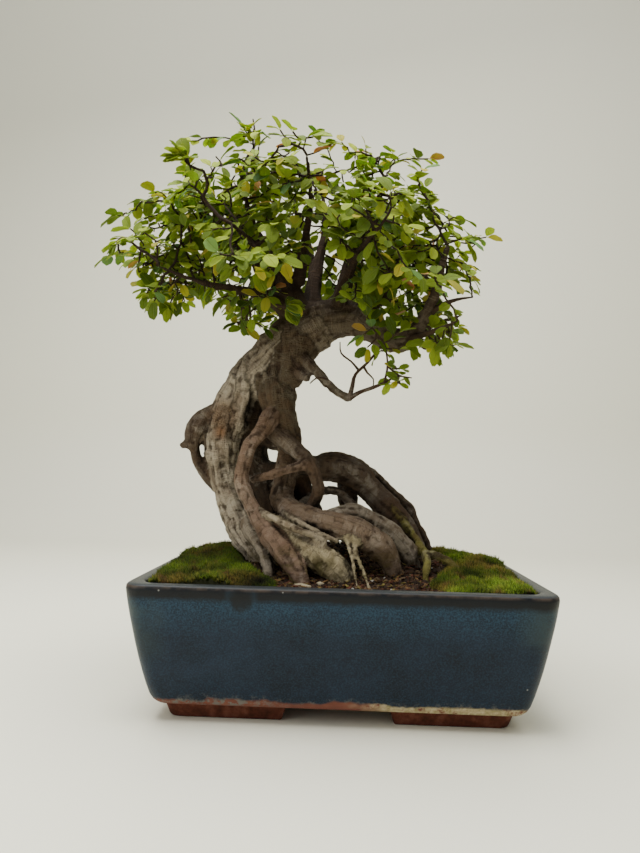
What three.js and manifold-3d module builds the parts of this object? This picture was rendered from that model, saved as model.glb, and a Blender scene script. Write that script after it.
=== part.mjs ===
// A zelkova bonsai with exposed roots, in its rectangular glazed pot. Millimetres, +Z up.
// Everything is laid out about the middle of the pot's foot, with the front of the pot towards -Y,
// and the finished group is then moved so that its origin is below the middle of its bounding box.
import * as THREE from "three";
import { mergeVertices } from "three/addons/utils/BufferGeometryUtils.js";
import Module from "manifold-3d";

const wasm = await Module();
wasm.setup();

// Driving dimensions.
const gap = 0.35; // between two pieces that touch on the real object
const pot = {
  width: 260,
  depth: 180,
  footHeight: 10,
  floorTop: 19,
  cornerRadius: 10,
  // Each row is [height, how far the wall stands in from the rim's outline].
  outside: [[10, 18], [13.5, 14.5], [22, 11.6], [38, 7.6], [56, 4], [72, 1.1], [81.5, 0], [84, 1.6]],
  inside: [[19, 23], [26, 20.5], [44, 16], [80, 10.8], [84, 9.4]],
  foot: { inset: 21.5, taper: 4, ring: 18, frontGap: 62, sideGap: 56, slant: 5 },
  drainRadius: 10,
  drainSpacing: 110,
};
const rim = pot.outside.at(-1)[0];
const screen = { openings: 3, opening: 7, bar: 1.8, thickness: 1 };
const soil = { edge: 79, mound: 20, spread: [85, 50], crest: [0, 15], cell: 17, grain: 0.9 };
const blade = { length: 22, width: 13, thickness: 0.75, wave: 1.3, droop: 2.4, slope: 0.95 };
const twig = { pitch: 10, halfWidth: 0.75, bareLength: 7, footWidth: 1.2, archRadius: 170 };
const stemRadius = { root: 1.7, tip: 1.15 };

// The wood. Each row of a path is [x, y, z, radius]. Roots end inside the soil.
const roots = {
  leftColumn: { sides: 10, steps: 11, path: [
    [-42, -8, 74, 11], [-50, -6, 88, 13], [-66, 0, 104, 12], [-77, 4, 122, 11.6], [-85, 6, 140, 12],
    [-90, 5, 158, 12.2], [-91, 3, 174, 13.8], [-87, 2, 189, 14.6], [-79, 2, 206, 15.4],
    [-67, 2, 221, 17.2], [-52, 0, 236, 18.6], [-36, -2, 250, 19], [-20, -4, 260, 17]] },
  rightColumn: { sides: 8, steps: 3, path: [
    [-54, 0, 228, 13], [-50, -6, 212, 12.8], [-47, -8, 198, 11.8], [-43, -8, 185, 10], [-39, -6, 173, 8.5]] },
  ringRoot: { sides: 6, steps: 7, path: [
    [-41, -8, 178, 7], [-31, -16, 166, 5.8], [-24, -20, 159, 5], [-19, -22, 150, 4.7], [-17, -20, 141, 4.6],
    [-20, -16, 131, 4.4], [-28, -14, 122, 4.4]] },
  kneeRoot: { sides: 7, steps: 10, path: [
    [-39, -4, 176, 8.6], [-40, 0, 161, 8], [-42, 0, 146, 7.9], [-43, -9, 132, 8.4], [-33, -23, 124, 9.2],
    [-18, -32, 120, 9.1], [-1, -38, 117, 9.3], [13, -40, 112, 9.6], [25, -38, 105, 8.8], [33, -35, 93, 7],
    [35, -34, 76, 5]] },
  crossRoot: { sides: 5, steps: 3, path: [
    [-64, -20, 146, 2.6], [-50, -26, 150, 3.2], [-38, -26, 154, 3.3], [-28, -24, 157, 3.5], [-22, -18, 160, 3]] },
  frontRoot: { sides: 6, steps: 8, path: [
    [-50, -9, 196, 5], [-53, -19, 189, 6.6], [-58, -26, 179, 6.3], [-64, -30, 170, 6.2], [-67, -32, 160, 5.9],
    [-69, -32, 149, 5.6], [-67, -33, 139, 5.5], [-61, -35, 128, 5.6], [-55, -38, 119, 6], [-47, -40, 110, 6.6],
    [-38, -42, 98, 6]] },
  loopRoot: { sides: 6, steps: 7, path: [
    [-86, 4, 198, 5], [-97, 2, 196, 4.8], [-106, 0, 190, 5.2], [-112, -2, 182, 5.2], [-115, -2, 173, 4.6],
    [-113, 0, 165, 4.2], [-107, 3, 156, 4.2], [-92, 7, 140, 4]] },
  loopNub: { sides: 5, steps: 1, path: [[-112, -2, 172, 3.6], [-119, -3, 169, 2.2]] },
  heel: { sides: 6, steps: 3, path: [
    [-66, -12, 116, 6.4], [-61, -22, 109, 6.2], [-54, -31, 101, 5.2], [-49, -38, 90, 4.4], [-46, -42, 77, 3.6]] },
  leftFootRoot: { sides: 6, steps: 4, path: [
    [-56, -28, 120, 6.6], [-46, -42, 109, 7.4], [-37, -50, 100, 7.3], [-29, -54, 91, 6.8], [-23, -55, 76, 5]] },
  rightFootRoot: { sides: 7, steps: 4, path: [
    [-56, -18, 116, 9], [-40, -32, 110, 9.6], [-25, -42, 103, 9.8], [-12, -46, 96, 10.2], [-1, -46, 89, 9.4],
    [6, -44, 75, 7]] },
  strandOne: { sides: 4, steps: 4, path: [
    [-60, -33, 128, 2.6], [-46, -44, 122, 2.6], [-34, -51, 117, 2.5], [-22, -53, 113, 2.3], [-10, -50, 106, 2]] },
  strandTwo: { sides: 4, steps: 4, path: [
    [-43, -16, 129, 2.4], [-36, -32, 122, 2], [-26, -43, 118, 2], [-14, -49, 113, 1.8], [-2, -46, 107, 1.8]] },
  archRoot: { sides: 7, steps: 8, path: [
    [-40, 0, 160, 7], [-21, 10, 156, 9.2], [-6, 16, 155, 10.2], [7, 20, 151, 10.6], [19, 22, 142, 10],
    [32, 22, 129, 9.8], [44, 18, 115, 9.5], [52, 12, 101, 8.6], [57, 8, 78, 7]] },
  archRidge: { sides: 5, steps: 4, path: [
    [-25, 14, 157, 4.2], [-13, 20, 163, 4.8], [0, 24, 163, 4.8], [12, 27, 159, 4.8], [23, 28, 149, 4]] },
  outerRoot: { sides: 5, steps: 7, path: [
    [7, 25, 160, 3], [23, 34, 154, 2.8], [36, 38, 142, 2.8], [47, 40, 132, 3.2], [52, 40, 126, 4.4],
    [56, 38, 118, 3.2], [61, 34, 109, 2.9], [66, 28, 98, 2.7], [69, 24, 80, 2.4]] },
  innerArch: { sides: 5, steps: 5, path: [
    [-34, -10, 126, 3.4], [-22, 6, 135, 3.3], [-13, 12, 139, 3.4], [-3, 15, 138, 3.5], [5, 13, 132, 3.6],
    [12, 6, 124, 3.6], [20, -10, 116, 3.4]] },
  broadRoot: { sides: 6, steps: 6, path: [
    [-14, -30, 119, 6.4], [-2, -20, 123, 6.5], [10, -15, 124, 6.8], [22, -14, 118, 7.4], [34, -14, 111, 7.6],
    [43, -13, 102, 7.3], [49, -11, 91, 6.4], [52, -10, 76, 5]] },
  mossyRoot: { sides: 5, steps: 6, path: [
    [36, 16, 128, 3], [45, 10, 119, 2.8], [51, 2, 110, 2.7], [55, -8, 103, 2.9], [58, -18, 98, 3.2],
    [58, -29, 93, 2.7], [56, -39, 87, 2.4], [54, -45, 75, 2.1]] },
  mossyFork: { sides: 5, steps: 2, path: [
    [57, -16, 99, 2.9], [67, -21, 97, 2.8], [76, -24, 92, 2.6], [85, -27, 76, 2.2]] },
  rootletOne: { sides: 4, steps: 2, path: [
    [3, -43, 110, 1.5], [7, -56, 98, 1.3], [9, -61, 89, 1.2], [12, -64, 75, 1.1]] },
  rootletTwo: { sides: 4, steps: 2, path: [
    [8, -42, 110, 1.6], [11, -54, 98, 1.4], [15, -61, 89, 1.3], [20, -66, 75, 1.2]] },
  backLeftRoot: { sides: 6, steps: 4, path: [
    [-86, 10, 154, 8], [-89, 22, 133, 7.6], [-85, 33, 114, 7.8], [-76, 41, 98, 7], [-66, 46, 75, 5.4]] },
  backMiddleRoot: { sides: 6, steps: 5, path: [
    [-42, 2, 150, 8], [-45, 14, 136, 8.8], [-42, 28, 120, 9.4], [-33, 38, 106, 8.8], [-24, 45, 94, 7.6],
    [-17, 50, 75, 5.6]] },
  backRightRoot: { sides: 6, steps: 4, path: [
    [2, 20, 150, 7.4], [4, 34, 134, 7.4], [7, 44, 115, 7.2], [13, 50, 98, 6.6], [19, 54, 75, 5]] },
};
const limbs = {
  cutStub: { sides: 5, steps: 2, path: [[-38, -8, 232, 6], [-29, -20, 220, 4.4], [-26, -23, 216, 3.2]] },
  hangingLimb: { sides: 5, steps: 4, path: [
    [-38, -6, 240, 6.4], [-29, -16, 232, 5.3], [-21, -22, 224, 4.7], [-12, -28, 214, 4.1], [-4, -32, 207, 3.6],
    [4, -34, 203, 3.1]] },
  hangingFork: { sides: 4, steps: 4, bears: true, path: [
    [3, -34, 202, 2.9], [5, -37, 211, 2.3], [7, -39, 219, 2], [15, -41, 227, 1.8], [24, -42, 238, 1.7]] },
  hangingTip: { sides: 4, steps: 2, bears: true, path: [
    [3, -34, 203, 2.8], [10, -38, 207, 2.1], [19, -42, 210, 1.9], [27, -46, 213, 1.6]] },
  hangingTwig: { sides: 4, steps: 1, path: [[26, -46, 212, 1.5], [28, -45, 224, 1.3], [27, -43, 236, 1.1]] },
  rightLimb: { sides: 7, steps: 8, bears: true, path: [
    [-34, -3, 252, 17], [-22, -4, 261, 16.4], [-7, -6, 264, 14.2], [10, -10, 262, 12], [24, -16, 253, 10],
    [35, -22, 245, 8.2], [44, -26, 247, 6.7], [51, -30, 256, 5.4], [57, -34, 267, 4.3], [61, -38, 279, 3.4],
    [63, -42, 292, 2.7], [67, -46, 306, 2]] },
  rightLowTwig: { sides: 4, steps: 3, bears: true, path: [
    [51, -30, 257, 3.8], [63, -36, 267, 2.6], [76, -40, 271, 2.1], [90, -44, 272, 1.7]] },
  rightFrontTwig: { sides: 4, steps: 3, bears: true, path: [
    [42, -26, 246, 4], [54, -42, 247, 2.8], [66, -56, 249, 2.2], [76, -70, 252, 1.7]] },
  rightBackLimb: { sides: 5, steps: 4, bears: true, path: [
    [28, -14, 252, 6], [44, 2, 256, 4.4], [60, 18, 264, 3.4], [76, 32, 273, 2.6], [92, 44, 281, 1.9]] },
  rightTopLimb: { sides: 5, steps: 4, bears: true, path: [
    [8, -6, 266, 7], [26, -2, 282, 5.2], [42, 2, 299, 4], [58, 4, 315, 3], [74, 4, 331, 2.2]] },
  upRightLimb: { sides: 5, steps: 6, bears: true, path: [
    [-12, -4, 264, 9.4], [-4, 0, 284, 7.4], [0, 4, 303, 5.9], [3, 6, 320, 4.7], [10, 4, 337, 3.7],
    [19, 0, 353, 2.8], [27, -4, 370, 2]] },
  upLeftLimb: { sides: 6, steps: 6, bears: true, path: [
    [-30, -5, 256, 12.5], [-39, -8, 278, 8.8], [-46, -10, 293, 7.2], [-55, -14, 307, 5.6], [-64, -18, 320, 4.4],
    [-71, -22, 336, 3.4], [-75, -26, 352, 2.7], [-79, -30, 370, 2]] },
  upMiddleLimb: { sides: 6, steps: 5, bears: true, path: [
    [-25, 0, 264, 9.6], [-26, 10, 289, 7.2], [-23, 18, 312, 5.6], [-19, 22, 335, 4.3], [-19, 25, 358, 3.2],
    [-23, 26, 382, 2.2]] },
  leftLimb: { sides: 5, steps: 5, bears: true, path: [
    [-38, -6, 266, 8], [-55, -18, 275, 5], [-69, -26, 278, 4], [-84, -33, 279, 3.3], [-98, -40, 280, 2.7],
    [-112, -46, 283, 2.2], [-127, -52, 288, 1.7]] },
  leftTopLimb: { sides: 5, steps: 4, bears: true, path: [
    [-47, -8, 292, 6], [-64, -2, 303, 4.2], [-78, 4, 315, 3.4], [-90, 8, 328, 2.8], [-103, 12, 343, 2.3],
    [-116, 14, 359, 1.8]] },
  leftBackLimb: { sides: 5, steps: 4, bears: true, path: [
    [-42, -4, 276, 6.6], [-60, 8, 285, 4.4], [-81, 18, 291, 3.4], [-102, 26, 295, 2.6], [-124, 32, 301, 1.8]] },
  frontLeftLimb: { sides: 5, steps: 3, bears: true, path: [
    [-40, -8, 276, 6], [-50, -30, 291, 4], [-60, -52, 301, 3], [-74, -76, 308, 2]] },
  frontRightLimb: { sides: 5, steps: 3, bears: true, path: [
    [-8, -6, 268, 6.6], [-1, -30, 286, 4.4], [8, -54, 299, 3.2], [20, -80, 306, 2]] },
  frontTopLimb: { sides: 5, steps: 3, bears: true, path: [
    [-36, -8, 290, 5.4], [-30, -28, 316, 3.8], [-26, -48, 338, 2.8], [-28, -66, 358, 2]] },
  backLeftLimb: { sides: 5, steps: 3, bears: true, path: [
    [-34, 2, 272, 7], [-50, 26, 287, 4.6], [-67, 50, 299, 3.2], [-86, 76, 307, 2]] },
  backRightLimb: { sides: 5, steps: 3, bears: true, path: [
    [-4, 0, 268, 7], [12, 26, 281, 4.6], [31, 52, 292, 3.2], [50, 78, 299, 2]] },
  backTopLimb: { sides: 5, steps: 3, bears: true, path: [
    [-25, 12, 292, 5.6], [-28, 36, 318, 3.8], [-32, 56, 341, 2.8], [-36, 70, 360, 2]] },
};
// The crown's outline about its heart, as reaches from it, and how sprays are spread over it: how many,
// the first one's turn, how much they gather at the top, how far out from the heart their stems start,
// and how far inside the outline the stems end.
const crown = {
  heart: [-34, 0, 292],
  left: 140, right: 135, front: 98, back: 100, up: 107, droopLeft: 16, droopRight: 60,
  squareness: 3.2, lowest: -0.3,
  sprays: 20, firstTurn: 3.82, gather: 1.2, start: 0.42, twigReach: 50,
};
// Sprays that the rule for the crown doesn't give: the stem's end, the way the twigs point, and
// the leaves on each twig.
const lowSprays = [
  { end: [33, -48, 212], heading: [0.8, -0.3, -0.15], leaves: [2, 2] },
  { end: [62, -28, 248], heading: [0.55, -0.2, -0.4], leaves: [3, 3, 3] },
  { end: [-62, -16, 264], heading: [-0.6, -0.3, -0.35], leaves: [3, 3] },
];
const twigsPerSpray = [5, 4, 4]; // leaves on each
// Turns in radians: of the side twigs from the first, and of one spray's fan of twigs from the next's.
const twigSpread = 0.85;
const fanTurn = 1.05;

// Turning geometry into solids and back.
function solidOf(geometry) {
  const bare = geometry.clone();
  bare.deleteAttribute("normal");
  bare.deleteAttribute("uv");
  const merged = mergeVertices(bare, 1e-4);
  return new wasm.Manifold(new wasm.Mesh({
    numProp: 3,
    vertProperties: new Float32Array(merged.attributes.position.array),
    triVerts: new Uint32Array(merged.index.array),
  }));
}

function geometryOf(solid) {
  const mesh = solid.getMesh();
  const geometry = new THREE.BufferGeometry();
  geometry.setAttribute("position", new THREE.BufferAttribute(mesh.vertProperties, 3));
  geometry.setIndex(new THREE.BufferAttribute(mesh.triVerts, 1));
  geometry.computeVertexNormals();
  return geometry;
}

const joined = (solids) => solids.reduce((all, next) => all.add(next));
const largest = (solid) => solid.decompose().reduce((a, b) => (a.volume() > b.volume() ? a : b));

// A repeatable draw from 0 to 1 for each set of whole numbers.
function draw(a, b = 0, c = 0) {
  const wide = Math.sin(a * 127.1 + b * 311.7 + c * 74.7) * 43758.5453;
  return wide - Math.floor(wide);
}

// A closed skin over rings of points: a cylinder's own mesh, with each vertex moved to its place.
// place(ring, angle) gives a point on the skin and centre(ring) the middle of an end.
function skinned(sides, rings, place, centre) {
  const tube = new THREE.CylinderGeometry(1, 1, 1, sides, rings - 1);
  const at = tube.attributes.position;
  for (let i = 0; i < at.count; i++) {
    const ring = Math.round((0.5 - at.getY(i)) * (rings - 1));
    const turn = Math.atan2(at.getZ(i), at.getX(i));
    const onAxis = Math.hypot(at.getX(i), at.getZ(i)) < 0.5;
    const p = onAxis ? centre(ring) : place(ring, turn);
    at.setXYZ(i, p.x, p.y, p.z);
  }
  return solidOf(tube);
}

// A root, branch or stem along a path of [x, y, z, radius] rows. extra thickens it all over.
function limb({ sides, steps, path }, extra = 0) {
  const line = new THREE.CatmullRomCurve3(path.map(([x, y, z]) => new THREE.Vector3(x, y, z)));
  const frames = line.computeFrenetFrames(steps);
  const radiusAt = (u) => {
    const row = line.getUtoTmapping(u) * (path.length - 1);
    const low = Math.min(Math.floor(row), path.length - 2);
    return THREE.MathUtils.lerp(path[low][3], path[low + 1][3], row - low) + extra;
  };
  const place = (ring, turn) => line.getPointAt(ring / steps)
    .addScaledVector(frames.normals[ring], radiusAt(ring / steps) * Math.cos(turn))
    .addScaledVector(frames.binormals[ring], radiusAt(ring / steps) * Math.sin(turn));
  return skinned(sides, steps + 1, place, (ring) => line.getPointAt(ring / steps));
}

// The pot.
const cornerPoints = 4;
const cornerTurns = 4 * cornerPoints;

// A point of a rectangle with rounded corners, half sizes a by b, for a turn round it.
function roundedCorner(a, b, radius, turn) {
  const step = (Math.round((turn / (2 * Math.PI)) * cornerTurns) + cornerTurns) % cornerTurns;
  const corner = Math.floor(step / cornerPoints);
  const within = ((step % cornerPoints) / (cornerPoints - 1)) * (Math.PI / 2) + corner * (Math.PI / 2);
  const signX = corner === 0 || corner === 3 ? 1 : -1;
  const signY = corner < 2 ? 1 : -1;
  return [
    signX * (a - radius) + radius * Math.cos(within),
    signY * (b - radius) + radius * Math.sin(within),
  ];
}

// A solid of rounded rectangles stacked by a profile of [height, inset] rows, top row first.
function stacked(profile, shrink = 0) {
  const rows = [...profile].reverse();
  const place = (ring, turn) => {
    const [z, inset] = rows[ring];
    const inward = inset + shrink;
    const radius = Math.max(pot.cornerRadius - inward * 0.25, 3);
    const [x, y] = roundedCorner(pot.width / 2 - inward, pot.depth / 2 - inward, radius, -turn);
    return new THREE.Vector3(x, y, z);
  };
  return skinned(cornerTurns, rows.length, place, (ring) => new THREE.Vector3(0, 0, rows[ring][0]));
}

function box(width, depth, height, x, y, z) {
  return solidOf(new THREE.BoxGeometry(width, depth, height).translate(x, y, z));
}

// A gap between two feet: a wedge that widens downwards, across the whole pot along one axis.
function footGap(width, alongY) {
  const { slant } = pot.foot;
  const top = pot.footHeight;
  const outline = new THREE.Shape([
    new THREE.Vector2(-width / 2 - slant, -1), new THREE.Vector2(width / 2 + slant, -1),
    new THREE.Vector2(width / 2, top), new THREE.Vector2(-width / 2, top)]);
  const wedge = new THREE.ExtrudeGeometry(outline, { depth: 2 * pot.width, bevelEnabled: false });
  wedge.translate(0, 0, -pot.width).rotateX(Math.PI / 2);
  return solidOf(alongY ? wedge : wedge.rotateZ(Math.PI / 2));
}

function footRing() {
  const { inset, taper, ring, frontGap, sideGap } = pot.foot;
  const top = pot.footHeight;
  const whole = stacked([[0, inset + taper], [top * 0.45, inset + 1], [top + 0.5, inset]]);
  const hole = stacked([[-1, inset + ring], [top + 2, inset + ring]]);
  return whole.subtract(hole).subtract(footGap(frontGap, true)).subtract(footGap(sideGap, false));
}

function drainHole(side) {
  const bore = new THREE.CylinderGeometry(pot.drainRadius, pot.drainRadius, 3 * pot.floorTop, 16);
  return solidOf(bore.rotateX(Math.PI / 2).translate((side * pot.drainSpacing) / 2, 0, pot.floorTop));
}

// The cavity, carried on above the rim so that it opens it cleanly, and shrunk for what fills it.
function cavity(shrink = 0, above = 4) {
  const topInset = pot.inside.at(-1)[1] - 0.4;
  return stacked([...pot.inside, [rim + above, topInset]], shrink);
}

function makePot() {
  const body = stacked(pot.outside).subtract(cavity());
  return body.add(footRing()).subtract(drainHole(-1)).subtract(drainHole(1));
}

// The plastic net over a drain hole, under the soil.
const screenSpan = screen.openings * screen.opening + (screen.openings + 1) * screen.bar;

function makeScreen(side) {
  const x = (side * pot.drainSpacing) / 2;
  const pitch = screen.opening + screen.bar;
  const openings = [];
  for (let i = 0; i < screen.openings ** 2; i++) {
    const across = (i % screen.openings) - (screen.openings - 1) / 2;
    const along = Math.floor(i / screen.openings) - (screen.openings - 1) / 2;
    openings.push(box(screen.opening, screen.opening, rim, x + across * pitch, along * pitch, pot.floorTop));
  }
  const z = pot.floorTop + gap + screen.thickness / 2;
  return box(screenSpan, screenSpan, screen.thickness, x, 0, z).subtract(joined(openings));
}

// The ground. Soil and moss share one grid, so that the moss lies on the soil face for face.
function soilHeight(x, y) {
  const [crestX, crestY] = soil.crest;
  const rise = Math.exp(-(((x - crestX) / soil.spread[0]) ** 2) - ((y - crestY) / soil.spread[1]) ** 2);
  const grains = soil.grain * (draw(Math.round(x), Math.round(y)) - 0.5) * 2;
  return soil.edge + soil.mound * rise + grains;
}

// A slab on the shared grid, with its lower and upper faces given as heights.
function slab(lower, upper) {
  const countX = Math.round(pot.width / soil.cell);
  const countY = Math.round(pot.depth / soil.cell);
  const grid = new THREE.BoxGeometry(pot.width, pot.depth, 2, countX, countY, 1);
  const at = grid.attributes.position;
  for (let i = 0; i < at.count; i++) {
    const height = at.getZ(i) > 0 ? upper : lower;
    at.setZ(i, height(at.getX(i), at.getY(i)));
  }
  return solidOf(grid);
}

function prism(points) {
  const outline = new THREE.Shape(
    new THREE.CatmullRomCurve3(points.map(([x, y]) => new THREE.Vector3(x, y, 0)), true)
      .getPoints(points.length * 2).slice(0, -1).map((p) => new THREE.Vector2(p.x, p.y)));
  return solidOf(new THREE.ExtrudeGeometry(outline, { depth: 3 * rim, bevelEnabled: false }));
}

function makeSoil(grownWood) {
  const filling = slab(() => 0, soilHeight).intersect(cavity(gap, 60));
  const raised = filling.subtract(box(2 * pot.width, 2 * pot.depth, pot.floorTop, 0, 0, pot.floorTop / 2 + gap));
  const sheet = screenSpan + 2 * gap;
  const screens = [-1, 1].map((side) => box(
    sheet, sheet, 2 * (screen.thickness + 3 * gap), (side * pot.drainSpacing) / 2, 0, pot.floorTop));
  return raised.subtract(joined(screens)).subtract(grownWood);
}

// A cushion of moss inside an outline, laid on the soil: thick in the middle, with hummocks.
function makeMoss({ outline, thickness, middle, span }, grownWood) {
  const cushion = (x, y) => {
    const away = Math.hypot((x - middle[0]) / span[0], (y - middle[1]) / span[1]);
    const hummocks = 1.5 * (draw(Math.round(x), Math.round(y), 3) - 0.5) * 2;
    return thickness * (0.45 + 0.55 * Math.max(0, 1 - away * away)) + hummocks;
  };
  const ground = slab(() => -1, (x, y) => soilHeight(x, y) + gap);
  const pad = slab(() => 0, (x, y) => soilHeight(x, y) + gap + cushion(x, y)).subtract(ground);
  return pad.intersect(prism(outline)).intersect(cavity(gap + 0.6, 60)).subtract(grownWood);
}

const mossPads = {
  moss_left: { thickness: 12, middle: [-84, 6], span: [50, 90], outline: [
    [-128, -88], [-78, -84], [-52, -66], [-62, -40], [-76, -14], [-80, 16], [-78, 44], [-50, 66],
    [-34, 92], [-128, 92]] },
  moss_right: { thickness: 11, middle: [76, 26], span: [60, 80], outline: [
    [58, -88], [128, -88], [128, 92], [34, 92], [42, 58], [58, 36], [70, 10], [76, -8], [66, -34], [50, -64]] },
};

// A thin solid from a sheet of triangles that share their edges: the sheet's own faces above, the
// same faces below, and a wall along every edge that has a triangle on one side only.
function thickened(points, faces) {
  const count = points.length;
  const skin = [1, -1].flatMap((side) => points.map(([x, y, z]) => [x, y, z + (side * blade.thickness) / 2]));
  const edges = new Set(faces.flatMap(([a, b, c]) => [`${a} ${b}`, `${b} ${c}`, `${c} ${a}`]));
  const index = faces.flatMap(([a, b, c]) => [a, b, c, a + count, c + count, b + count]);
  for (const edge of edges) {
    const [a, b] = edge.split(" ").map(Number);
    if (!edges.has(`${b} ${a}`)) index.push(a + count, b + count, b, a + count, b, a);
  }
  const geometry = new THREE.BufferGeometry();
  geometry.setAttribute("position", new THREE.BufferAttribute(new Float32Array(skin.flat()), 3));
  return geometry.setIndex(index);
}

// A leafy twig as one arched sheet, from its foot at the origin along +X: a slim rib with its
// leaves alternating to both sides and one at the end, each with a waved blade cut to the rib.
function leafyTwig(leafCount, seed) {
  const points = [];
  const faces = [];
  const sway = (draw(seed, 1) - 0.5) * 0.008;
  const arch = (x, y, z) => [x, y + sway * x * x, z - (x * x + y * y) / (2 * twig.archRadius)];
  const ribSides = { [-1]: [], [1]: [] };
  const addPoint = (x, y, z) => points.push(arch(x, y, z)) - 1;
  // first and last are the two ends of the leaf's foot on the rib, in counter-clockwise order.
  const addLeaf = (x, y, angle, first, last, key) => {
    const size = 0.85 + 0.25 * draw(seed, key, 1);
    const wave = blade.wave * (draw(seed, key, 2) < 0.5 ? -1 : 1);
    const tilt = 3 * (draw(seed, key, 3) - 0.5);
    const at = (along, across, rise) => addPoint(
      x + Math.cos(angle) * along * blade.length * size - Math.sin(angle) * across * blade.width * size,
      y + Math.sin(angle) * along * blade.length * size + Math.cos(angle) * across * blade.width * size,
      rise + tilt * across - blade.droop * along * along);
    const right = [at(0.28, -0.5, wave), at(0.68, -0.36, -wave)];
    const tip = at(1, 0, 0);
    const left = [at(0.66, 0.38, wave), at(0.26, 0.48, -wave)];
    faces.push([first, right[0], left[1]], [first, left[1], last], [right[0], right[1], left[0]],
      [right[0], left[0], left[1]], [right[1], tip, left[0]]);
  };
  const { halfWidth, footWidth, pitch, bareLength } = twig;
  faces.push([addPoint(-0.4, 0, 0), addPoint(1.6, -halfWidth, 0), addPoint(1.6, halfWidth, 0)]);
  ribSides[-1].push(1);
  ribSides[1].push(2);
  for (let i = 0; i < leafCount - 1; i++) {
    const side = (i + seed) % 2 ? 1 : -1;
    const x = bareLength + i * pitch;
    const ends = [-footWidth, footWidth].map((along) => addPoint(x + along, side * halfWidth, 0));
    ribSides[side].push(...ends);
    const [first, last] = side < 0 ? ends : [ends[1], ends[0]];
    const angle = side * (blade.slope + 0.35 * (draw(seed, i, 4) - 0.5));
    addLeaf(x, side * halfWidth, angle, first, last, i);
  }
  const end = bareLength + (leafCount - 1.4) * pitch;
  const right = addPoint(end, -halfWidth, 0);
  const left = addPoint(end, halfWidth, 0);
  addLeaf(end, 0, 0.4 * (draw(seed, 8) - 0.5), right, left, 9);
  const rib = [...ribSides[-1], right, left, ...ribSides[1].reverse()];
  const ribOutline = rib.map((i) => new THREE.Vector2(points[i][0], points[i][1]));
  for (const face of THREE.ShapeUtils.triangulateShape(ribOutline, [])) faces.push(face.map((i) => rib[i]));
  return thickened(points, faces);
}

const up = new THREE.Vector3(0, 0, 1);

// A leafy twig set with its foot at a point, along a direction, its upper side facing outward.
function twigAt(foot, direction, outward, leafCount, seed) {
  const x = direction.clone().normalize();
  const y = new THREE.Vector3().crossVectors(outward, x).normalize();
  const z = new THREE.Vector3().crossVectors(x, y);
  const setting = new THREE.Matrix4().makeBasis(x, y, z).setPosition(foot);
  return solidOf(leafyTwig(leafCount, seed).applyMatrix4(setting));
}

// Where sprays can start: points along the outer part of every limb that bears them.
function sitesOnLimbs() {
  return Object.values(limbs).filter((one) => one.bears).flatMap(({ path }) => {
    const line = new THREE.CatmullRomCurve3(path.map(([x, y, z]) => new THREE.Vector3(x, y, z)));
    return [0.45, 0.55, 0.65, 0.75, 0.85, 0.95, 1].map((t) => line.getPoint(t));
  });
}

// Each spray as its stem's three points, the way its twigs point and the leaves on each of them.
// They are spread evenly over the crown's outline by the golden angle; then come the low ones.
function layOutSprays(sites) {
  const heart = new THREE.Vector3(...crown.heart);
  const golden = Math.PI * (3 - Math.sqrt(5));
  const sprays = [];
  for (let i = 0; i < crown.sprays; i++) {
    const height = 1 - ((i + 0.5) / crown.sprays) ** crown.gather * (1 - crown.lowest);
    const flat = (1 - Math.abs(height) ** crown.squareness) ** (1 / crown.squareness);
    const across = Math.cos(crown.firstTurn + i * golden) * flat;
    const along = Math.sin(crown.firstTurn + i * golden) * flat;
    const droop = across < 0 ? crown.droopLeft : crown.droopRight;
    const reach = new THREE.Vector3(
      across * (across < 0 ? crown.left : crown.right),
      along * (along < 0 ? crown.front : crown.back),
      height * (height > 0 ? crown.up : droop * Math.abs(across)));
    const heading = reach.clone().normalize();
    const end = heart.clone().add(reach).addScaledVector(heading, -crown.twigReach);
    const inner = heart.clone().addScaledVector(reach, crown.start);
    sprays.push({ points: stemPoints(end, inner, i, sites), heading, leaves: twigsPerSpray });
  }
  for (const { end, heading, leaves } of lowSprays) {
    const tip = new THREE.Vector3(...end);
    const points = stemPoints(tip, tip, sprays.length, sites);
    sprays.push({ points, heading: new THREE.Vector3(...heading).normalize(), leaves });
  }
  return sprays;
}

// A stem from the site nearest to a point, to its end, bent in the middle by a seeded amount.
function stemPoints(end, nearTo, index, sites) {
  const nearer = (a, b) => (b.distanceTo(nearTo) < a.distanceTo(nearTo) ? b : a);
  const start = sites.reduce(nearer);
  const span = start.distanceTo(end);
  const middle = start.clone().lerp(end, 0.5);
  middle.z += span * (0.02 + 0.1 * draw(index, 1));
  middle.x += span * 0.16 * (draw(index, 2) - 0.5);
  middle.y += span * 0.16 * (draw(index, 3) - 0.5);
  return [start, middle, end];
}

function stemSolid(points, thick, thin, sides, steps) {
  const path = points.map((p, i) => [p.x, p.y, p.z, thick + ((thin - thick) * i) / (points.length - 1)]);
  return limb({ sides, steps, path });
}

const clearOf = (solid, others) => others.every((other) => solid.minGap(other, 2 * gap) >= gap - 0.05);

// What is tried for each twig until it crosses nothing: [leaves fewer, lift, bend], in radians.
const bends = [0, 0.12, -0.12, 0.24, -0.24, 0.36, -0.36, 0.48, -0.48];
const lifts = [0, 0.3, -0.25];
const tries = [0, 1, 2].flatMap((fewer) => lifts.flatMap((lift) => bends.map((bend) => [fewer, lift, bend])));

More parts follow.
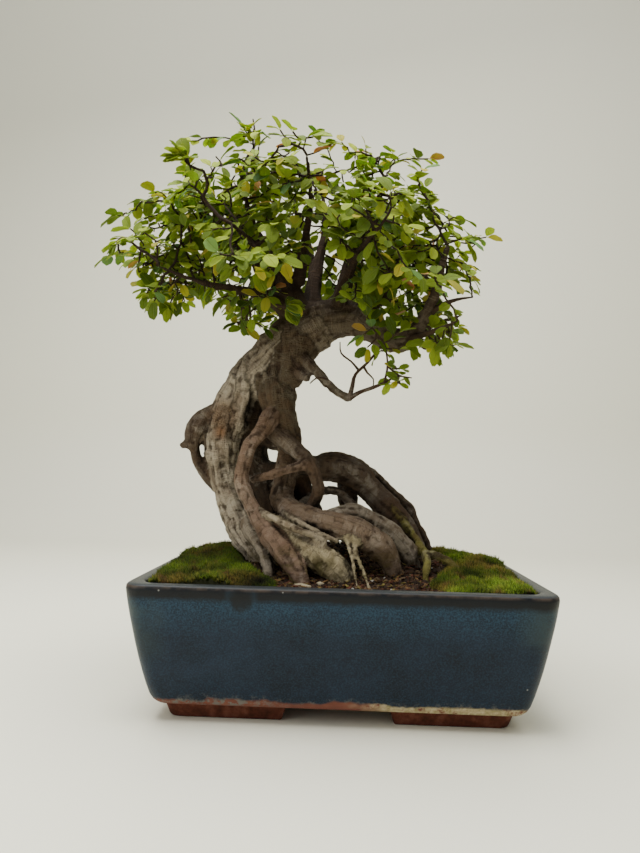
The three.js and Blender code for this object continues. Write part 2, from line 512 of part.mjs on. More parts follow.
// The twigs at the end of one stem. The first goes straight on and the others turn aside from it,
// the upper face of each to the sky. One that would cross something however it is bent is left out.
function growSpray({ points, heading, leaves }, stem, index, others) {
  const line = new THREE.CatmullRomCurve3(points);
  const level = new THREE.Vector3().crossVectors(up, heading);
  if (level.length() < 0.3) level.set(1, 0, 0);
  level.normalize();
  const twigs = [];
  for (let i = 0; i < leaves.length; i++) {
    const foot = line.getPointAt(0.5).lerp(points[2], 0.95 - 0.2 * i);
    const turn = i === 0 ? 0 : twigSpread * (i % 2 ? 1 : -1);
    const axis = new THREE.Vector3().crossVectors(heading, level)
      .applyAxisAngle(heading, (index % 3) * fanTurn + 0.5 * (draw(index, i) - 0.5));
    const rise = 0.2 * (0.5 - draw(index, i, 5));
    for (const [fewer, lift, bend] of tries) {
      const way = heading.clone().applyAxisAngle(axis, turn + bend).applyAxisAngle(level, rise - lift);
      const steep = Math.abs(way.z) > 0.8;
      const sky = steep ? heading.clone().setZ(0.2) : up.clone().addScaledVector(heading, 0.3);
      const sheet = twigAt(foot, way, sky, Math.max(leaves[i] - fewer, 2), index * 7 + i);
      if (!clearOf(sheet, [...others, ...twigs])) continue;
      twigs.push(sheet);
      break;
    }
  }
  return largest(joined([stem, ...twigs]).simplify(0.05));
}

// Building the whole.
const allWood = { ...roots, ...limbs };
const wood = largest(joined(Object.values(allWood).map((one) => limb(one))).simplify(0.3));
const grownWood = joined(Object.values(allWood).map((one) => limb(one, gap)));
const sites = sitesOnLimbs();
const sprays = layOutSprays(sites).map((spray) => {
  const [, , end] = spray.points;
  const whole = stemSolid(spray.points, stemRadius.root, stemRadius.tip, 4, 2);
  const endBall = solidOf(new THREE.SphereGeometry(1.5, 4, 2).translate(end.x, end.y, end.z));
  const stem = whole.subtract(grownWood).decompose().find((piece) => !piece.intersect(endBall).isEmpty());
  return { ...spray, stem };
});

const clay = new THREE.MeshStandardMaterial({ color: 0x24384a, roughness: 0.35 });
const bark = new THREE.MeshStandardMaterial({ color: 0x8a7a66, roughness: 0.85 });
const earth = new THREE.MeshStandardMaterial({ color: 0x33261c, roughness: 0.95 });
const green = new THREE.MeshStandardMaterial({ color: 0x5f8a22, roughness: 0.6 });
const mossGreen = new THREE.MeshStandardMaterial({ color: 0x56681a, roughness: 0.95 });
const blackNet = new THREE.MeshStandardMaterial({ color: 0x1c1c1c, roughness: 0.6 });

const bonsai = new THREE.Group();
function addPiece(name, solid, material) {
  const mesh = new THREE.Mesh(geometryOf(solid), material);
  mesh.name = name;
  bonsai.add(mesh);
}

addPiece("pot", makePot(), clay);
addPiece("drain_screen_left", makeScreen(-1), blackNet);
addPiece("drain_screen_right", makeScreen(1), blackNet);
addPiece("soil", makeSoil(grownWood), earth);
for (const [name, pad] of Object.entries(mossPads)) addPiece(name, makeMoss(pad, grownWood), mossGreen);
addPiece("tree_wood", wood, bark);
sprays.forEach((spray, index) => {
  const others = [grownWood, ...sprays.filter((one, i) => i !== index).map((one) => one.whole ?? one.stem)];
  spray.whole = growSpray(spray, spray.stem, index, others);
  addPiece("spray_" + String(index + 1).padStart(2, "0"), spray.whole, green);
});

const bounds = new THREE.Box3().setFromObject(bonsai);
const centre = bounds.getCenter(new THREE.Vector3());
bonsai.position.set(-centre.x, -centre.y, -bounds.min.z);

export default bonsai;
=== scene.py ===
import bmesh
import bpy
import math
import random
from mathutils import Matrix, Vector, noise
from mathutils.bvhtree import BVHTree
from mathutils.kdtree import KDTree


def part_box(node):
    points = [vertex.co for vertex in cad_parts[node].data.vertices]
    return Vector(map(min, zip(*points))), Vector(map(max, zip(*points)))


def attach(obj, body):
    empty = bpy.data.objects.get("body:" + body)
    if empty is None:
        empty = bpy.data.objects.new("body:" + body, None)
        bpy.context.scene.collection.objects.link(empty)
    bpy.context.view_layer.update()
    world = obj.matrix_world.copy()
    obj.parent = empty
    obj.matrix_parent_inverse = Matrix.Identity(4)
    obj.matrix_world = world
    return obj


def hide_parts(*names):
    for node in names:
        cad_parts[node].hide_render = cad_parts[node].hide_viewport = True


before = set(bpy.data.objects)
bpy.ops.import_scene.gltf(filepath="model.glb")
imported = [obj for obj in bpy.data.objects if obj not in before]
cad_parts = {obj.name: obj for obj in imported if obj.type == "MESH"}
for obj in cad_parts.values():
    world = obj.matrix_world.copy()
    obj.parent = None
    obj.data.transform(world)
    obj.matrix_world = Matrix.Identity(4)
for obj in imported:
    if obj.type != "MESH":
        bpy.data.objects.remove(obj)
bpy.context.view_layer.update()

# Every length below is in millimetres from the middle of the pot's foot: x right, y back, z up.
mm = 0.001
potLow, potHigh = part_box("pot")
middle = Vector(((potLow[0] + potHigh[0]) / 2, (potLow[1] + potHigh[1]) / 2, 0))
toWorld = Matrix.Translation(middle) @ Matrix.Scale(mm, 4)


def place(x, y, z):
    return middle + Vector((x, y, z)) * mm


def newPiece(name, mesh, material, nodes=()):
    piece = bpy.data.objects.new(name, mesh)
    bpy.context.collection.objects.link(piece)
    mesh.materials.clear()
    mesh.materials.append(material)
    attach(piece, "root")
    if nodes:
        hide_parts(*nodes)
    return piece


def meshFrom(bm, name, smooth=True, sharpAngle=None):
    mesh = bpy.data.meshes.new(name)
    bm.to_mesh(mesh)
    bm.free()
    if smooth:
        mesh.shade_smooth()
    if sharpAngle:
        mesh.set_sharp_from_angle(angle=math.radians(sharpAngle))
    return mesh


def applied(mesh, name, *modifiers):  # a new mesh with modifiers such as ("REMESH", {...}) applied
    holder = bpy.data.objects.new(name, mesh)
    bpy.context.collection.objects.link(holder)
    for kind, settings in modifiers:
        modifier = holder.modifiers.new(kind.title(), kind)
        for key, value in settings.items():
            setattr(modifier, key, value)
    shaped = holder.evaluated_get(bpy.context.evaluated_depsgraph_get())
    result = bpy.data.meshes.new_from_object(shaped)
    bpy.data.objects.remove(holder)
    result.name = name
    return result


def inOutline(x, y, outline):
    inside = False
    for (ax, ay), (bx, by) in zip(outline, outline[1:] + outline[:1]):
        if (ay > y) != (by > y) and x < (bx - ax) * (y - ay) / (by - ay) + ax:
            inside = not inside
    return inside


# Shading helpers.
def addNode(tree, kind, inputs=None, **settings):
    node = tree.nodes.new(kind)
    for key, value in settings.items():
        setattr(node, key, value)
    for key, value in (inputs or {}).items():
        socket = node.inputs[key]
        if isinstance(value, bpy.types.NodeSocket):
            tree.links.new(value, socket)
        else:
            socket.default_value = value
    return node


def ramp(tree, factor, stops):
    node = addNode(tree, "ShaderNodeValToRGB", {"Fac": factor})
    elements = node.color_ramp.elements
    for i, (position, colour) in enumerate(stops):
        element = elements[i] if i < 2 else elements.new(position)
        element.position = position
        element.color = (*colour, 1)
    return node.outputs["Color"]


def mask(tree, value, low, high):  # 0 at low and 1 at high, which may be the smaller of the two
    node = addNode(tree, "ShaderNodeMapRange", {"Value": value, "From Min": low, "From Max": high})
    return node.outputs["Result"]


def mixed(tree, factor, a, b):
    node = addNode(tree, "ShaderNodeMix", data_type="RGBA", clamp_factor=True)
    for socket, value in ((node.inputs[0], factor), (node.inputs[6], a), (node.inputs[7], b)):
        if isinstance(value, bpy.types.NodeSocket):
            tree.links.new(value, socket)
        elif isinstance(value, tuple):
            socket.default_value = (*value, 1)
        else:
            socket.default_value = value
    return node.outputs[2]


def maths(tree, operation, a, b=0.0):
    return addNode(tree, "ShaderNodeMath", {0: a, 1: b}, operation=operation).outputs[0]


def times(tree, a, b):
    return maths(tree, "MULTIPLY", a, b)


def plus(tree, a, b):
    return maths(tree, "ADD", a, b)


def laid(tree, colour, over, where, share=1.0):  # one colour laid over another where a mask says, by a share
    return mixed(tree, where if share == 1.0 else times(tree, where, share), colour, over)


def newMaterial(name):
    material = bpy.data.materials.new(name)
    material.use_nodes = True
    tree = material.node_tree
    return material, tree, tree.nodes["Principled BSDF"]


def potSpace(tree):  # coordinates in millimetres from the middle of the pot's foot
    source = addNode(tree, "ShaderNodeTexCoord").outputs["Object"]
    return stretched(tree, source, (1 / mm, 1 / mm, 1 / mm), tuple(-c / mm for c in middle))


def stretched(tree, vector, scale, shift=(0, 0, 0)):
    node = addNode(tree, "ShaderNodeMapping", {"Vector": vector, "Location": shift, "Scale": scale})
    return node.outputs["Vector"]


def noiseAt(tree, vector, scale, detail=3.0, roughness=0.6, distortion=0.0):
    return addNode(tree, "ShaderNodeTexNoise", {
        "Vector": vector, "Scale": scale, "Detail": detail, "Roughness": roughness,
        "Distortion": distortion}).outputs["Fac"]


def patches(tree, vector, scale, detail, roughness, low, high):  # noise cut off into patches
    return mask(tree, noiseAt(tree, vector, scale, detail, roughness), low, high)


def bumped(tree, height, distance, strength=1.0):
    return addNode(tree, "ShaderNodeBump", {
        "Height": height, "Distance": distance, "Strength": strength}).outputs["Normal"]


def makeMottle():  # blotches and fine specks, shared by the glaze, the bark, the ground and the nets
    group = bpy.data.node_groups.new("mottle", "ShaderNodeTree")
    for name, way, kind in (("Vector", "INPUT", "Vector"), ("Blotch Size", "INPUT", "Float"),
                            ("Speck Size", "INPUT", "Float"), ("Blotches", "OUTPUT", "Float"),
                            ("Specks", "OUTPUT", "Float")):
        group.interface.new_socket(name, in_out=way, socket_type="NodeSocket" + kind)
    inputs = addNode(group, "NodeGroupInput").outputs
    outputs = addNode(group, "NodeGroupOutput").inputs
    blotchScale = maths(group, "DIVIDE", 1.0, inputs["Blotch Size"])
    speckScale = maths(group, "DIVIDE", 1.0, inputs["Speck Size"])
    group.links.new(noiseAt(group, inputs["Vector"], blotchScale, 4.0, 0.6, 0.4), outputs["Blotches"])
    group.links.new(noiseAt(group, inputs["Vector"], speckScale, 2.0), outputs["Specks"])
    return group


mottle = makeMottle()


def mottled(tree, vector, blotchSize, speckSize):
    node = addNode(tree, "ShaderNodeGroup", node_tree=mottle)
    tree.links.new(vector, node.inputs["Vector"])
    node.inputs["Blotch Size"].default_value = blotchSize
    node.inputs["Speck Size"].default_value = speckSize
    return node.outputs["Blotches"], node.outputs["Specks"]


# Floor, light and camera.
studio = {
    "floorTint": (0.80, 0.788, 0.640), "floorRoughness": 0.55, "floorHalfWidth": 2600, "floorFront": -2600,
    "wallStart": 820, "wallRadius": 300, "wallTurn": 86, "wallHeight": 1900, "wallLean": 100,
    "ambient": 0.36, "ambientTint": (0.98, 0.985, 1.0),
    "lights": {  # where, what it is turned to, side lengths, watts, tint
        "skyPanel": ((-190, -80, 1100), (0, 0, 150), (820, 720), 24, (1.0, 0.99, 0.965)),
        "windowPanel": ((-800, -680, 560), (0, 0, 180), (500, 700), 4.5, (1.0, 0.995, 0.98)),
        "backPanel": ((250, -250, 1500), (100, 0, 0), (1400, 900), 7, (1.0, 0.99, 0.97)),
        "wallWash": ((0, 150, 1900), (0, 1100, 850), (2200, 500), 12, (1.0, 0.99, 0.975)),
    },
}


def buildStudio():
    material, _, shader = newMaterial("paleSweep")
    shader.inputs["Base Color"].default_value = (*studio["floorTint"], 1)
    shader.inputs["Roughness"].default_value = studio["floorRoughness"]
    bm = bmesh.new()
    bmesh.ops.create_grid(bm, x_segments=1, y_segments=1, size=1)
    for vert in bm.verts:
        back = studio["wallStart"] if vert.co.y > 0 else studio["floorFront"]
        vert.co = Vector((vert.co.x * studio["floorHalfWidth"], back, 0)) * mm
    back = [edge for edge in bm.edges if all(v.co.y > 0 for v in edge.verts)]
    turned = bmesh.ops.spin(bm, geom=back, cent=(0, studio["wallStart"] * mm, studio["wallRadius"] * mm),
                            axis=(1, 0, 0), angle=math.radians(studio["wallTurn"]), steps=16)
    edges = [g for g in turned["geom_last"] if isinstance(g, bmesh.types.BMEdge)]
    raised = bmesh.ops.extrude_edge_only(bm, edges=edges)
    verts = [g for g in raised["geom"] if isinstance(g, bmesh.types.BMVert)]
    bmesh.ops.translate(bm, vec=Vector((0, studio["wallLean"], studio["wallHeight"])) * mm, verts=verts)
    bmesh.ops.recalc_face_normals(bm, faces=bm.faces[:])
    sweep = bpy.data.objects.new("sweep", meshFrom(bm, "sweep"))
    if sweep.data.polygons[0].normal.z < 0:
        sweep.data.flip_normals()
    bpy.context.collection.objects.link(sweep)
    sweep.data.materials.append(material)
    for name, (spot, target, (width, height), watts, tint) in studio["lights"].items():
        light = bpy.data.lights.new(name, "AREA")
        light.shape = "RECTANGLE"
        light.size, light.size_y = width * mm, height * mm
        light.energy = watts
        light.color = tint
        lamp = bpy.data.objects.new(name, light)
        lamp.location = place(*spot)
        lamp.rotation_euler = (place(*target) - place(*spot)).to_track_quat("-Z", "Y").to_euler()
        bpy.context.collection.objects.link(lamp)
    world = bpy.data.worlds.new("room")
    world.use_nodes = True
    background = world.node_tree.nodes["Background"]
    background.inputs["Color"].default_value = (*studio["ambientTint"], 1)
    background.inputs["Strength"].default_value = studio["ambient"]
    bpy.context.scene.world = world


camera = {"spot": (0.1, -474.6, 153.0), "yaw": 2.13, "pitch": 3.97, "roll": 1.41, "lens": 27.43, "sensor": 36}


def buildCamera():
    yaw, pitch, roll = (math.radians(camera[key]) for key in ("yaw", "pitch", "roll"))
    ahead = Vector((-math.sin(yaw) * math.cos(pitch), math.cos(yaw) * math.cos(pitch), math.sin(pitch)))
    level = Vector((math.cos(yaw), math.sin(yaw), 0))
    above = level.cross(ahead)
    right = math.cos(roll) * level + math.sin(roll) * above
    top = -math.sin(roll) * level + math.cos(roll) * above
    eye = bpy.data.objects.new("camera", bpy.data.cameras.new("camera"))
    eye.data.lens = camera["lens"]
    eye.data.sensor_width = camera["sensor"]
    eye.data.clip_start = 0.02
    turn = Matrix((right, top, -ahead)).transposed().to_4x4()
    eye.matrix_world = Matrix.Translation(place(*camera["spot"])) @ turn
    bpy.context.collection.objects.link(eye)
    bpy.context.scene.camera = eye


buildStudio()
buildCamera()
print("studio and camera done")

# Pot.
pot = {
    "width": 260, "depth": 180, "cornerRadius": 10, "cornerSegments": 8,
    # rows of [height, how far the wall stands in from the rim's outline], up the outside and down the inside
    "outside": [[10, 18.4], [10.6, 16.9], [12.4, 15.2], [15.5, 13.6], [22, 11.6], [30, 9.5], [38, 7.6],
                [47, 5.7], [56, 4], [64, 2.5], [72, 1.2], [78, 0.4], [80.6, 0.1], [82.4, 0.3], [83.5, 1.1],
                [84, 2.6]],
    "inside": [[84, 7.4], [83.6, 8.8], [82.4, 9.7], [80, 10.4], [66, 12.3], [44, 16], [26, 20.5], [19.4, 24]],
    "footHeight": 10, "footInset": 21.5, "footTaper": 3.6, "gapTaper": 3.5, "footWidth": 17, "footCorner": 7,
    "footEdge": 1.3, "frontGap": 62, "sideGap": 56, "drainRadius": 10, "drainSpacing": 110, "drainMiddle": 14,
    "wallInside": 10.8, "innerCorner": 8,  # the free space inside the wall at the soil's height
}


def roundedPlan(bm, width, depth, height):
    made = bmesh.ops.create_grid(bm, x_segments=1, y_segments=1, size=0.5)["verts"]
    bmesh.ops.scale(bm, vec=(width, depth, 1), verts=made)
    bmesh.ops.bevel(bm, geom=made, offset=pot["cornerRadius"], offset_type="OFFSET",
                    segments=pot["cornerSegments"], profile=0.5, affect="VERTICES", material=-1)
    bmesh.ops.translate(bm, vec=(0, 0, height), verts=bm.verts[:])
    return bm.faces[:][0]


def roundOff(bm, edges, offset, segments):
    bmesh.ops.bevel(bm, geom=edges, offset=offset, segments=segments, profile=0.5,
                    affect="EDGES", material=-1)


def buildPot():
    bm = bmesh.new()
    rows = pot["outside"] + pot["inside"]
    size = [pot["width"] - 2 * rows[0][1], pot["depth"] - 2 * rows[0][1]]
    face = roundedPlan(bm, *size, rows[0][0])
    for i, (height, inset) in enumerate(rows[1:]):
        raised = bmesh.ops.extrude_face_region(bm, geom=[face])["geom"]
        verts = [g for g in raised if isinstance(g, bmesh.types.BMVert)]
        if i:  # only the first face stays, as the bottom
            bmesh.ops.delete(bm, geom=[face], context="FACES_ONLY")
        face = [g for g in raised if isinstance(g, bmesh.types.BMFace)][0]
        step = [pot["width"] - 2 * inset, pot["depth"] - 2 * inset]
        bmesh.ops.scale(bm, vec=(step[0] / size[0], step[1] / size[1], 1), verts=verts)
        bmesh.ops.translate(bm, vec=(0, 0, height - verts[0].co.z), verts=verts)
        size = step
    longEdges = [e for e in bm.edges if e.calc_length() > 60]
    bmesh.ops.subdivide_edges(bm, edges=longEdges, cuts=12, use_grid_fill=True)
    body = meshFrom(bm, "potBody")

    bm = bmesh.new()  # one foot, then its three mirror images
    half = [pot["width"] / 2 - pot["footInset"], pot["depth"] / 2 - pot["footInset"]]
    gaps = [pot["frontGap"] / 2, pot["sideGap"] / 2]
    bmesh.ops.create_grid(bm, x_segments=2, y_segments=2, size=1)
    for vert in bm.verts:
        for axis in (0, 1):  # the foot's outer side, its end at the gap, and its inner side between them
            across = round(vert.co[axis])
            vert.co[axis] = {1: half[axis], -1: gaps[axis], 0: half[axis] - pot["footWidth"]}[across]
    inner = [f for f in bm.faces if f.calc_center_median().x < half[0] - pot["footWidth"]
             and f.calc_center_median().y < half[1] - pot["footWidth"]]
    bmesh.ops.delete(bm, geom=inner, context="FACES")
    bmesh.ops.translate(bm, vec=(0, 0, pot["footHeight"] + 1), verts=bm.verts[:])
    lowered = bmesh.ops.extrude_face_region(bm, geom=bm.faces[:])["geom"]
    verts = [g for g in lowered if isinstance(g, bmesh.types.BMVert)]
    bmesh.ops.translate(bm, vec=(0, 0, -pot["footHeight"] - 1), verts=verts)
    for vert in verts:
        for axis in (0, 1):
            if vert.co[axis] > half[axis] - 1:
                vert.co[axis] -= pot["footTaper"]
            elif vert.co[axis] < gaps[axis] + 1:
                vert.co[axis] += pot["gapTaper"]
    corner = [e for e in bm.edges if all(v.co.x > half[0] - 5 and v.co.y > half[1] - 5 for v in e.verts)
              and abs(e.verts[0].co.z - e.verts[1].co.z) > 5]
    roundOff(bm, corner, pot["footCorner"], 5)
    lowEdges = [e for e in bm.edges if e.calc_face_angle(0) > 0.6 and min(v.co.z for v in e.verts) < 2]
    roundOff(bm, lowEdges, pot["footEdge"], 3)
    bmesh.ops.recalc_face_normals(bm, faces=bm.faces[:])
    for axis in ("X", "Y"):
        bmesh.ops.mirror(bm, geom=bm.verts[:] + bm.edges[:] + bm.faces[:], axis=axis, merge_dist=0.0001)
    bmesh.ops.recalc_face_normals(bm, faces=bm.faces[:])
    feet = bpy.data.objects.new("feet", meshFrom(bm, "feet"))

    bm = bmesh.new()
    for side in (-1, 1):
        bore = bmesh.ops.create_cone(bm, cap_ends=True, segments=40, radius1=pot["drainRadius"],
                                     radius2=pot["drainRadius"], depth=40)["verts"]
        bmesh.ops.translate(bm, vec=(side * pot["drainSpacing"] / 2, 0, pot["drainMiddle"]), verts=bore)
    bores = bpy.data.objects.new("bores", meshFrom(bm, "bores"))
    for helper in (feet, bores):
        bpy.context.collection.objects.link(helper)
    mesh = applied(body, "pot",
                   ("BOOLEAN", {"operation": "UNION", "object": feet, "solver": "EXACT"}),
                   ("BOOLEAN", {"operation": "DIFFERENCE", "object": bores, "solver": "EXACT"}))
    for helper in (feet, bores):
        bpy.data.objects.remove(helper)
    mesh.transform(toWorld)
    mesh.shade_smooth()
    mesh.set_sharp_from_angle(angle=math.radians(38))
    return mesh


glaze = {
    "navy": [(0.3, (0.0040, 0.0060, 0.0118)), (0.52, (0.0062, 0.0106, 0.0215)),
             (0.75, (0.0095, 0.0170, 0.0325))],
    "teal": (0.018, 0.052, 0.086), "greenish": (0.027, 0.043, 0.047), "darkBand": (0.0062, 0.0062, 0.0068),
    "rim": (0.026, 0.031, 0.034), "rimShade": (0.026, 0.029, 0.031), "rimEdge": (0.060, 0.044, 0.033),
    "fleck": (0.36, 0.36, 0.33), "greyLime": (0.13, 0.125, 0.11), "bareClay": (0.185, 0.072, 0.052),
    "clay": [(0.3, (0.036, 0.011, 0.006)), (0.5, (0.085, 0.024, 0.014)), (0.7, (0.15, 0.055, 0.034))],
    "lime": [(0.3, (0.20, 0.17, 0.065)), (0.5, (0.34, 0.28, 0.16)), (0.7, (0.50, 0.42, 0.28))],
    "shine": [(0.3, (0.36, 0.36, 0.36)), (0.8, (0.52, 0.52, 0.52))], "clayRoughness": (0.85, 0.85, 0.85),
    "specular": 0.16, "relief": 0.0006, "blotchSize": 24.0, "speckSize": 1.0,
    # heights between which each band sets in
    "tealBand": (60, 84), "greenishBand": (26, 56), "darkLine": (75.6, 79.2), "edgeLine": (81.0, 82.6),
    "rimTop": (82.8, 83.4), "glazeLine": (8.6, 10.2), "splashBand": (13, 10), "bareBand": (9.6, 10.8),
    "limeBand": (9, 10.5), "crustBand": (10, 12),
    # places across the pot between which a mark sets in
    "corners": (100, 124), "limeSide": (60, 78), "crustSide": (-20, -60), "frontSide": (-60, -70),
    # how far noise pushes a band's edge up or down
    "bandWaves": 14.0, "darkWaves": 3.4, "lineWaves": -11.0, "sideWaves": 90.0, "dripWaves": 1.1,
    "drip": (-58, 77), "dripSize": (7.5, 8.5), "dripHalo": (2.5, 1.7), "dripBody": (1.7, 0.9),
    # patches: scale, detail and roughness of the noise, and the values where a patch begins and is full
    "edgePatches": (0.12, 3.0, 0.6, 0.35, 0.6), "limePatches": (0.10, 4.0, 0.75, 0.34, 0.44),
    "crustPatches": (0.16, 4.0, 0.75, 0.46, 0.56), "splashPatches": (0.22, 5.0, 0.75, 0.50, 0.64),
}


def dripShape(tree, across, height, spot):  # 1 at the edge of the dark run of glaze, less inside it
    (dripX, dripZ), (sizeX, sizeZ) = glaze["drip"], glaze["dripSize"]
    fromX = maths(tree, "DIVIDE", maths(tree, "SUBTRACT", across, dripX), sizeX)
    fromZ = maths(tree, "DIVIDE", maths(tree, "SUBTRACT", height, dripZ), sizeZ)
    fromDrip = plus(tree, maths(tree, "POWER", fromX, 2.0), maths(tree, "POWER", fromZ, 2.0))
    return plus(tree, fromDrip, times(tree, noiseAt(tree, spot, 0.25), glaze["dripWaves"]))


def bareFoot(tree, spot, across, height, wide):  # clay below the glaze, with dried lime on it
    clay = ramp(tree, noiseAt(tree, spot, 0.12, 4.0, 0.65), glaze["clay"])
    lime = ramp(tree, noiseAt(tree, spot, 0.35, 4.0, 0.7), glaze["lime"])
    onRight = mask(tree, plus(tree, across, times(tree, wide, glaze["sideWaves"])), *glaze["limeSide"])
    limed = times(tree, onRight, patches(tree, spot, *glaze["limePatches"]))
    limed = times(tree, limed, mask(tree, height, *glaze["limeBand"]))
    crust = times(tree, mask(tree, across, *glaze["crustSide"]), patches(tree, spot, *glaze["crustPatches"]))
    bare = laid(tree, clay, glaze["bareClay"], mask(tree, height, *glaze["bareBand"]), 0.6)
    footing = laid(tree, bare, lime, limed)
    return laid(tree, footing, glaze["greyLime"], times(tree, crust, mask(tree, height, *glaze["crustBand"])))


def glazeMaterial():
    material, tree, shader = newMaterial("mottledBlueGlaze")
    spot = potSpace(tree)
    parts = addNode(tree, "ShaderNodeSeparateXYZ", {"Vector": spot}).outputs
    across, back, height = parts["X"], parts["Y"], parts["Z"]
    blotches, specks = mottled(tree, spot, glaze["blotchSize"], glaze["speckSize"])
    wide = noiseAt(tree, spot, 0.03)
    grainy = mask(tree, specks, 0.40, 0.68)
    level = plus(tree, height, times(tree, wide, glaze["bandWaves"]))
    band = times(tree, mask(tree, level, *glaze["tealBand"]), plus(tree, times(tree, grainy, 0.7), 0.2))
    colour = laid(tree, ramp(tree, blotches, glaze["navy"]), glaze["teal"], band)
    colour = laid(tree, colour, glaze["teal"], grainy, 0.34)
    corner = mask(tree, maths(tree, "ABSOLUTE", across), *glaze["corners"])
    corner = times(tree, corner, mask(tree, wide, 0.40, 0.62))
    corner = times(tree, corner, mask(tree, height, *glaze["greenishBand"]))
    colour = laid(tree, colour, glaze["greenish"], corner)
    wavy = plus(tree, height, times(tree, noiseAt(tree, spot, 0.09), glaze["darkWaves"]))
    colour = laid(tree, colour, glaze["darkBand"], mask(tree, wavy, *glaze["darkLine"]), 0.94)
    # a dark run of glaze below the rim, with a paler line around it
    fromDrip = dripShape(tree, across, height, spot)
    inFront = mask(tree, back, *glaze["frontSide"])
    for shape, share, tint in (("dripHalo", 0.18, "teal"), ("dripBody", 0.85, "darkBand")):
        run = times(tree, mask(tree, fromDrip, *glaze[shape]), times(tree, inFront, share))
        colour = laid(tree, colour, glaze[tint], run)
    edgeLine = times(tree, mask(tree, height, *glaze["edgeLine"]), patches(tree, spot, *glaze["edgePatches"]))
    colour = laid(tree, colour, glaze["rimEdge"], edgeLine, 0.8)
    rim = mixed(tree, mask(tree, blotches, 0.4, 0.6), glaze["rim"], glaze["rimShade"])
    colour = laid(tree, colour, rim, mask(tree, height, *glaze["rimTop"]))
    flecks = addNode(tree, "ShaderNodeTexVoronoi", {"Vector": spot, "Scale": 0.055}).outputs["Distance"]
    colour = laid(tree, colour, glaze["fleck"], mask(tree, flecks, 0.035, 0.02), 0.45)
    # the glaze stops above the foot in an uneven line, where lime has dried on the clay
    line = plus(tree, height, times(tree, noiseAt(tree, spot, 0.045, 4.0), glaze["lineWaves"]))
    glazed = mask(tree, line, *glaze["glazeLine"])
    splash = times(tree, mask(tree, line, *glaze["splashBand"]), patches(tree, spot, *glaze["splashPatches"]))
    colour = laid(tree, colour, glaze["greyLime"], splash, 0.55)
    colour = mixed(tree, glazed, bareFoot(tree, spot, across, height, wide), colour)
    tree.links.new(colour, shader.inputs["Base Color"])
    shine = ramp(tree, specks, glaze["shine"])
    tree.links.new(mixed(tree, glazed, glaze["clayRoughness"], shine), shader.inputs["Roughness"])
    shader.inputs["Specular IOR Level"].default_value = glaze["specular"]
    relief = plus(tree, times(tree, blotches, 0.7), times(tree, specks, 0.22))
    relief = plus(tree, relief, times(tree, glazed, 0.5))
    tree.links.new(bumped(tree, relief, glaze["relief"]), shader.inputs["Normal"])
    return material


newPiece("glazedPot", buildPot(), glazeMaterial(), ["pot"])
print("pot done")

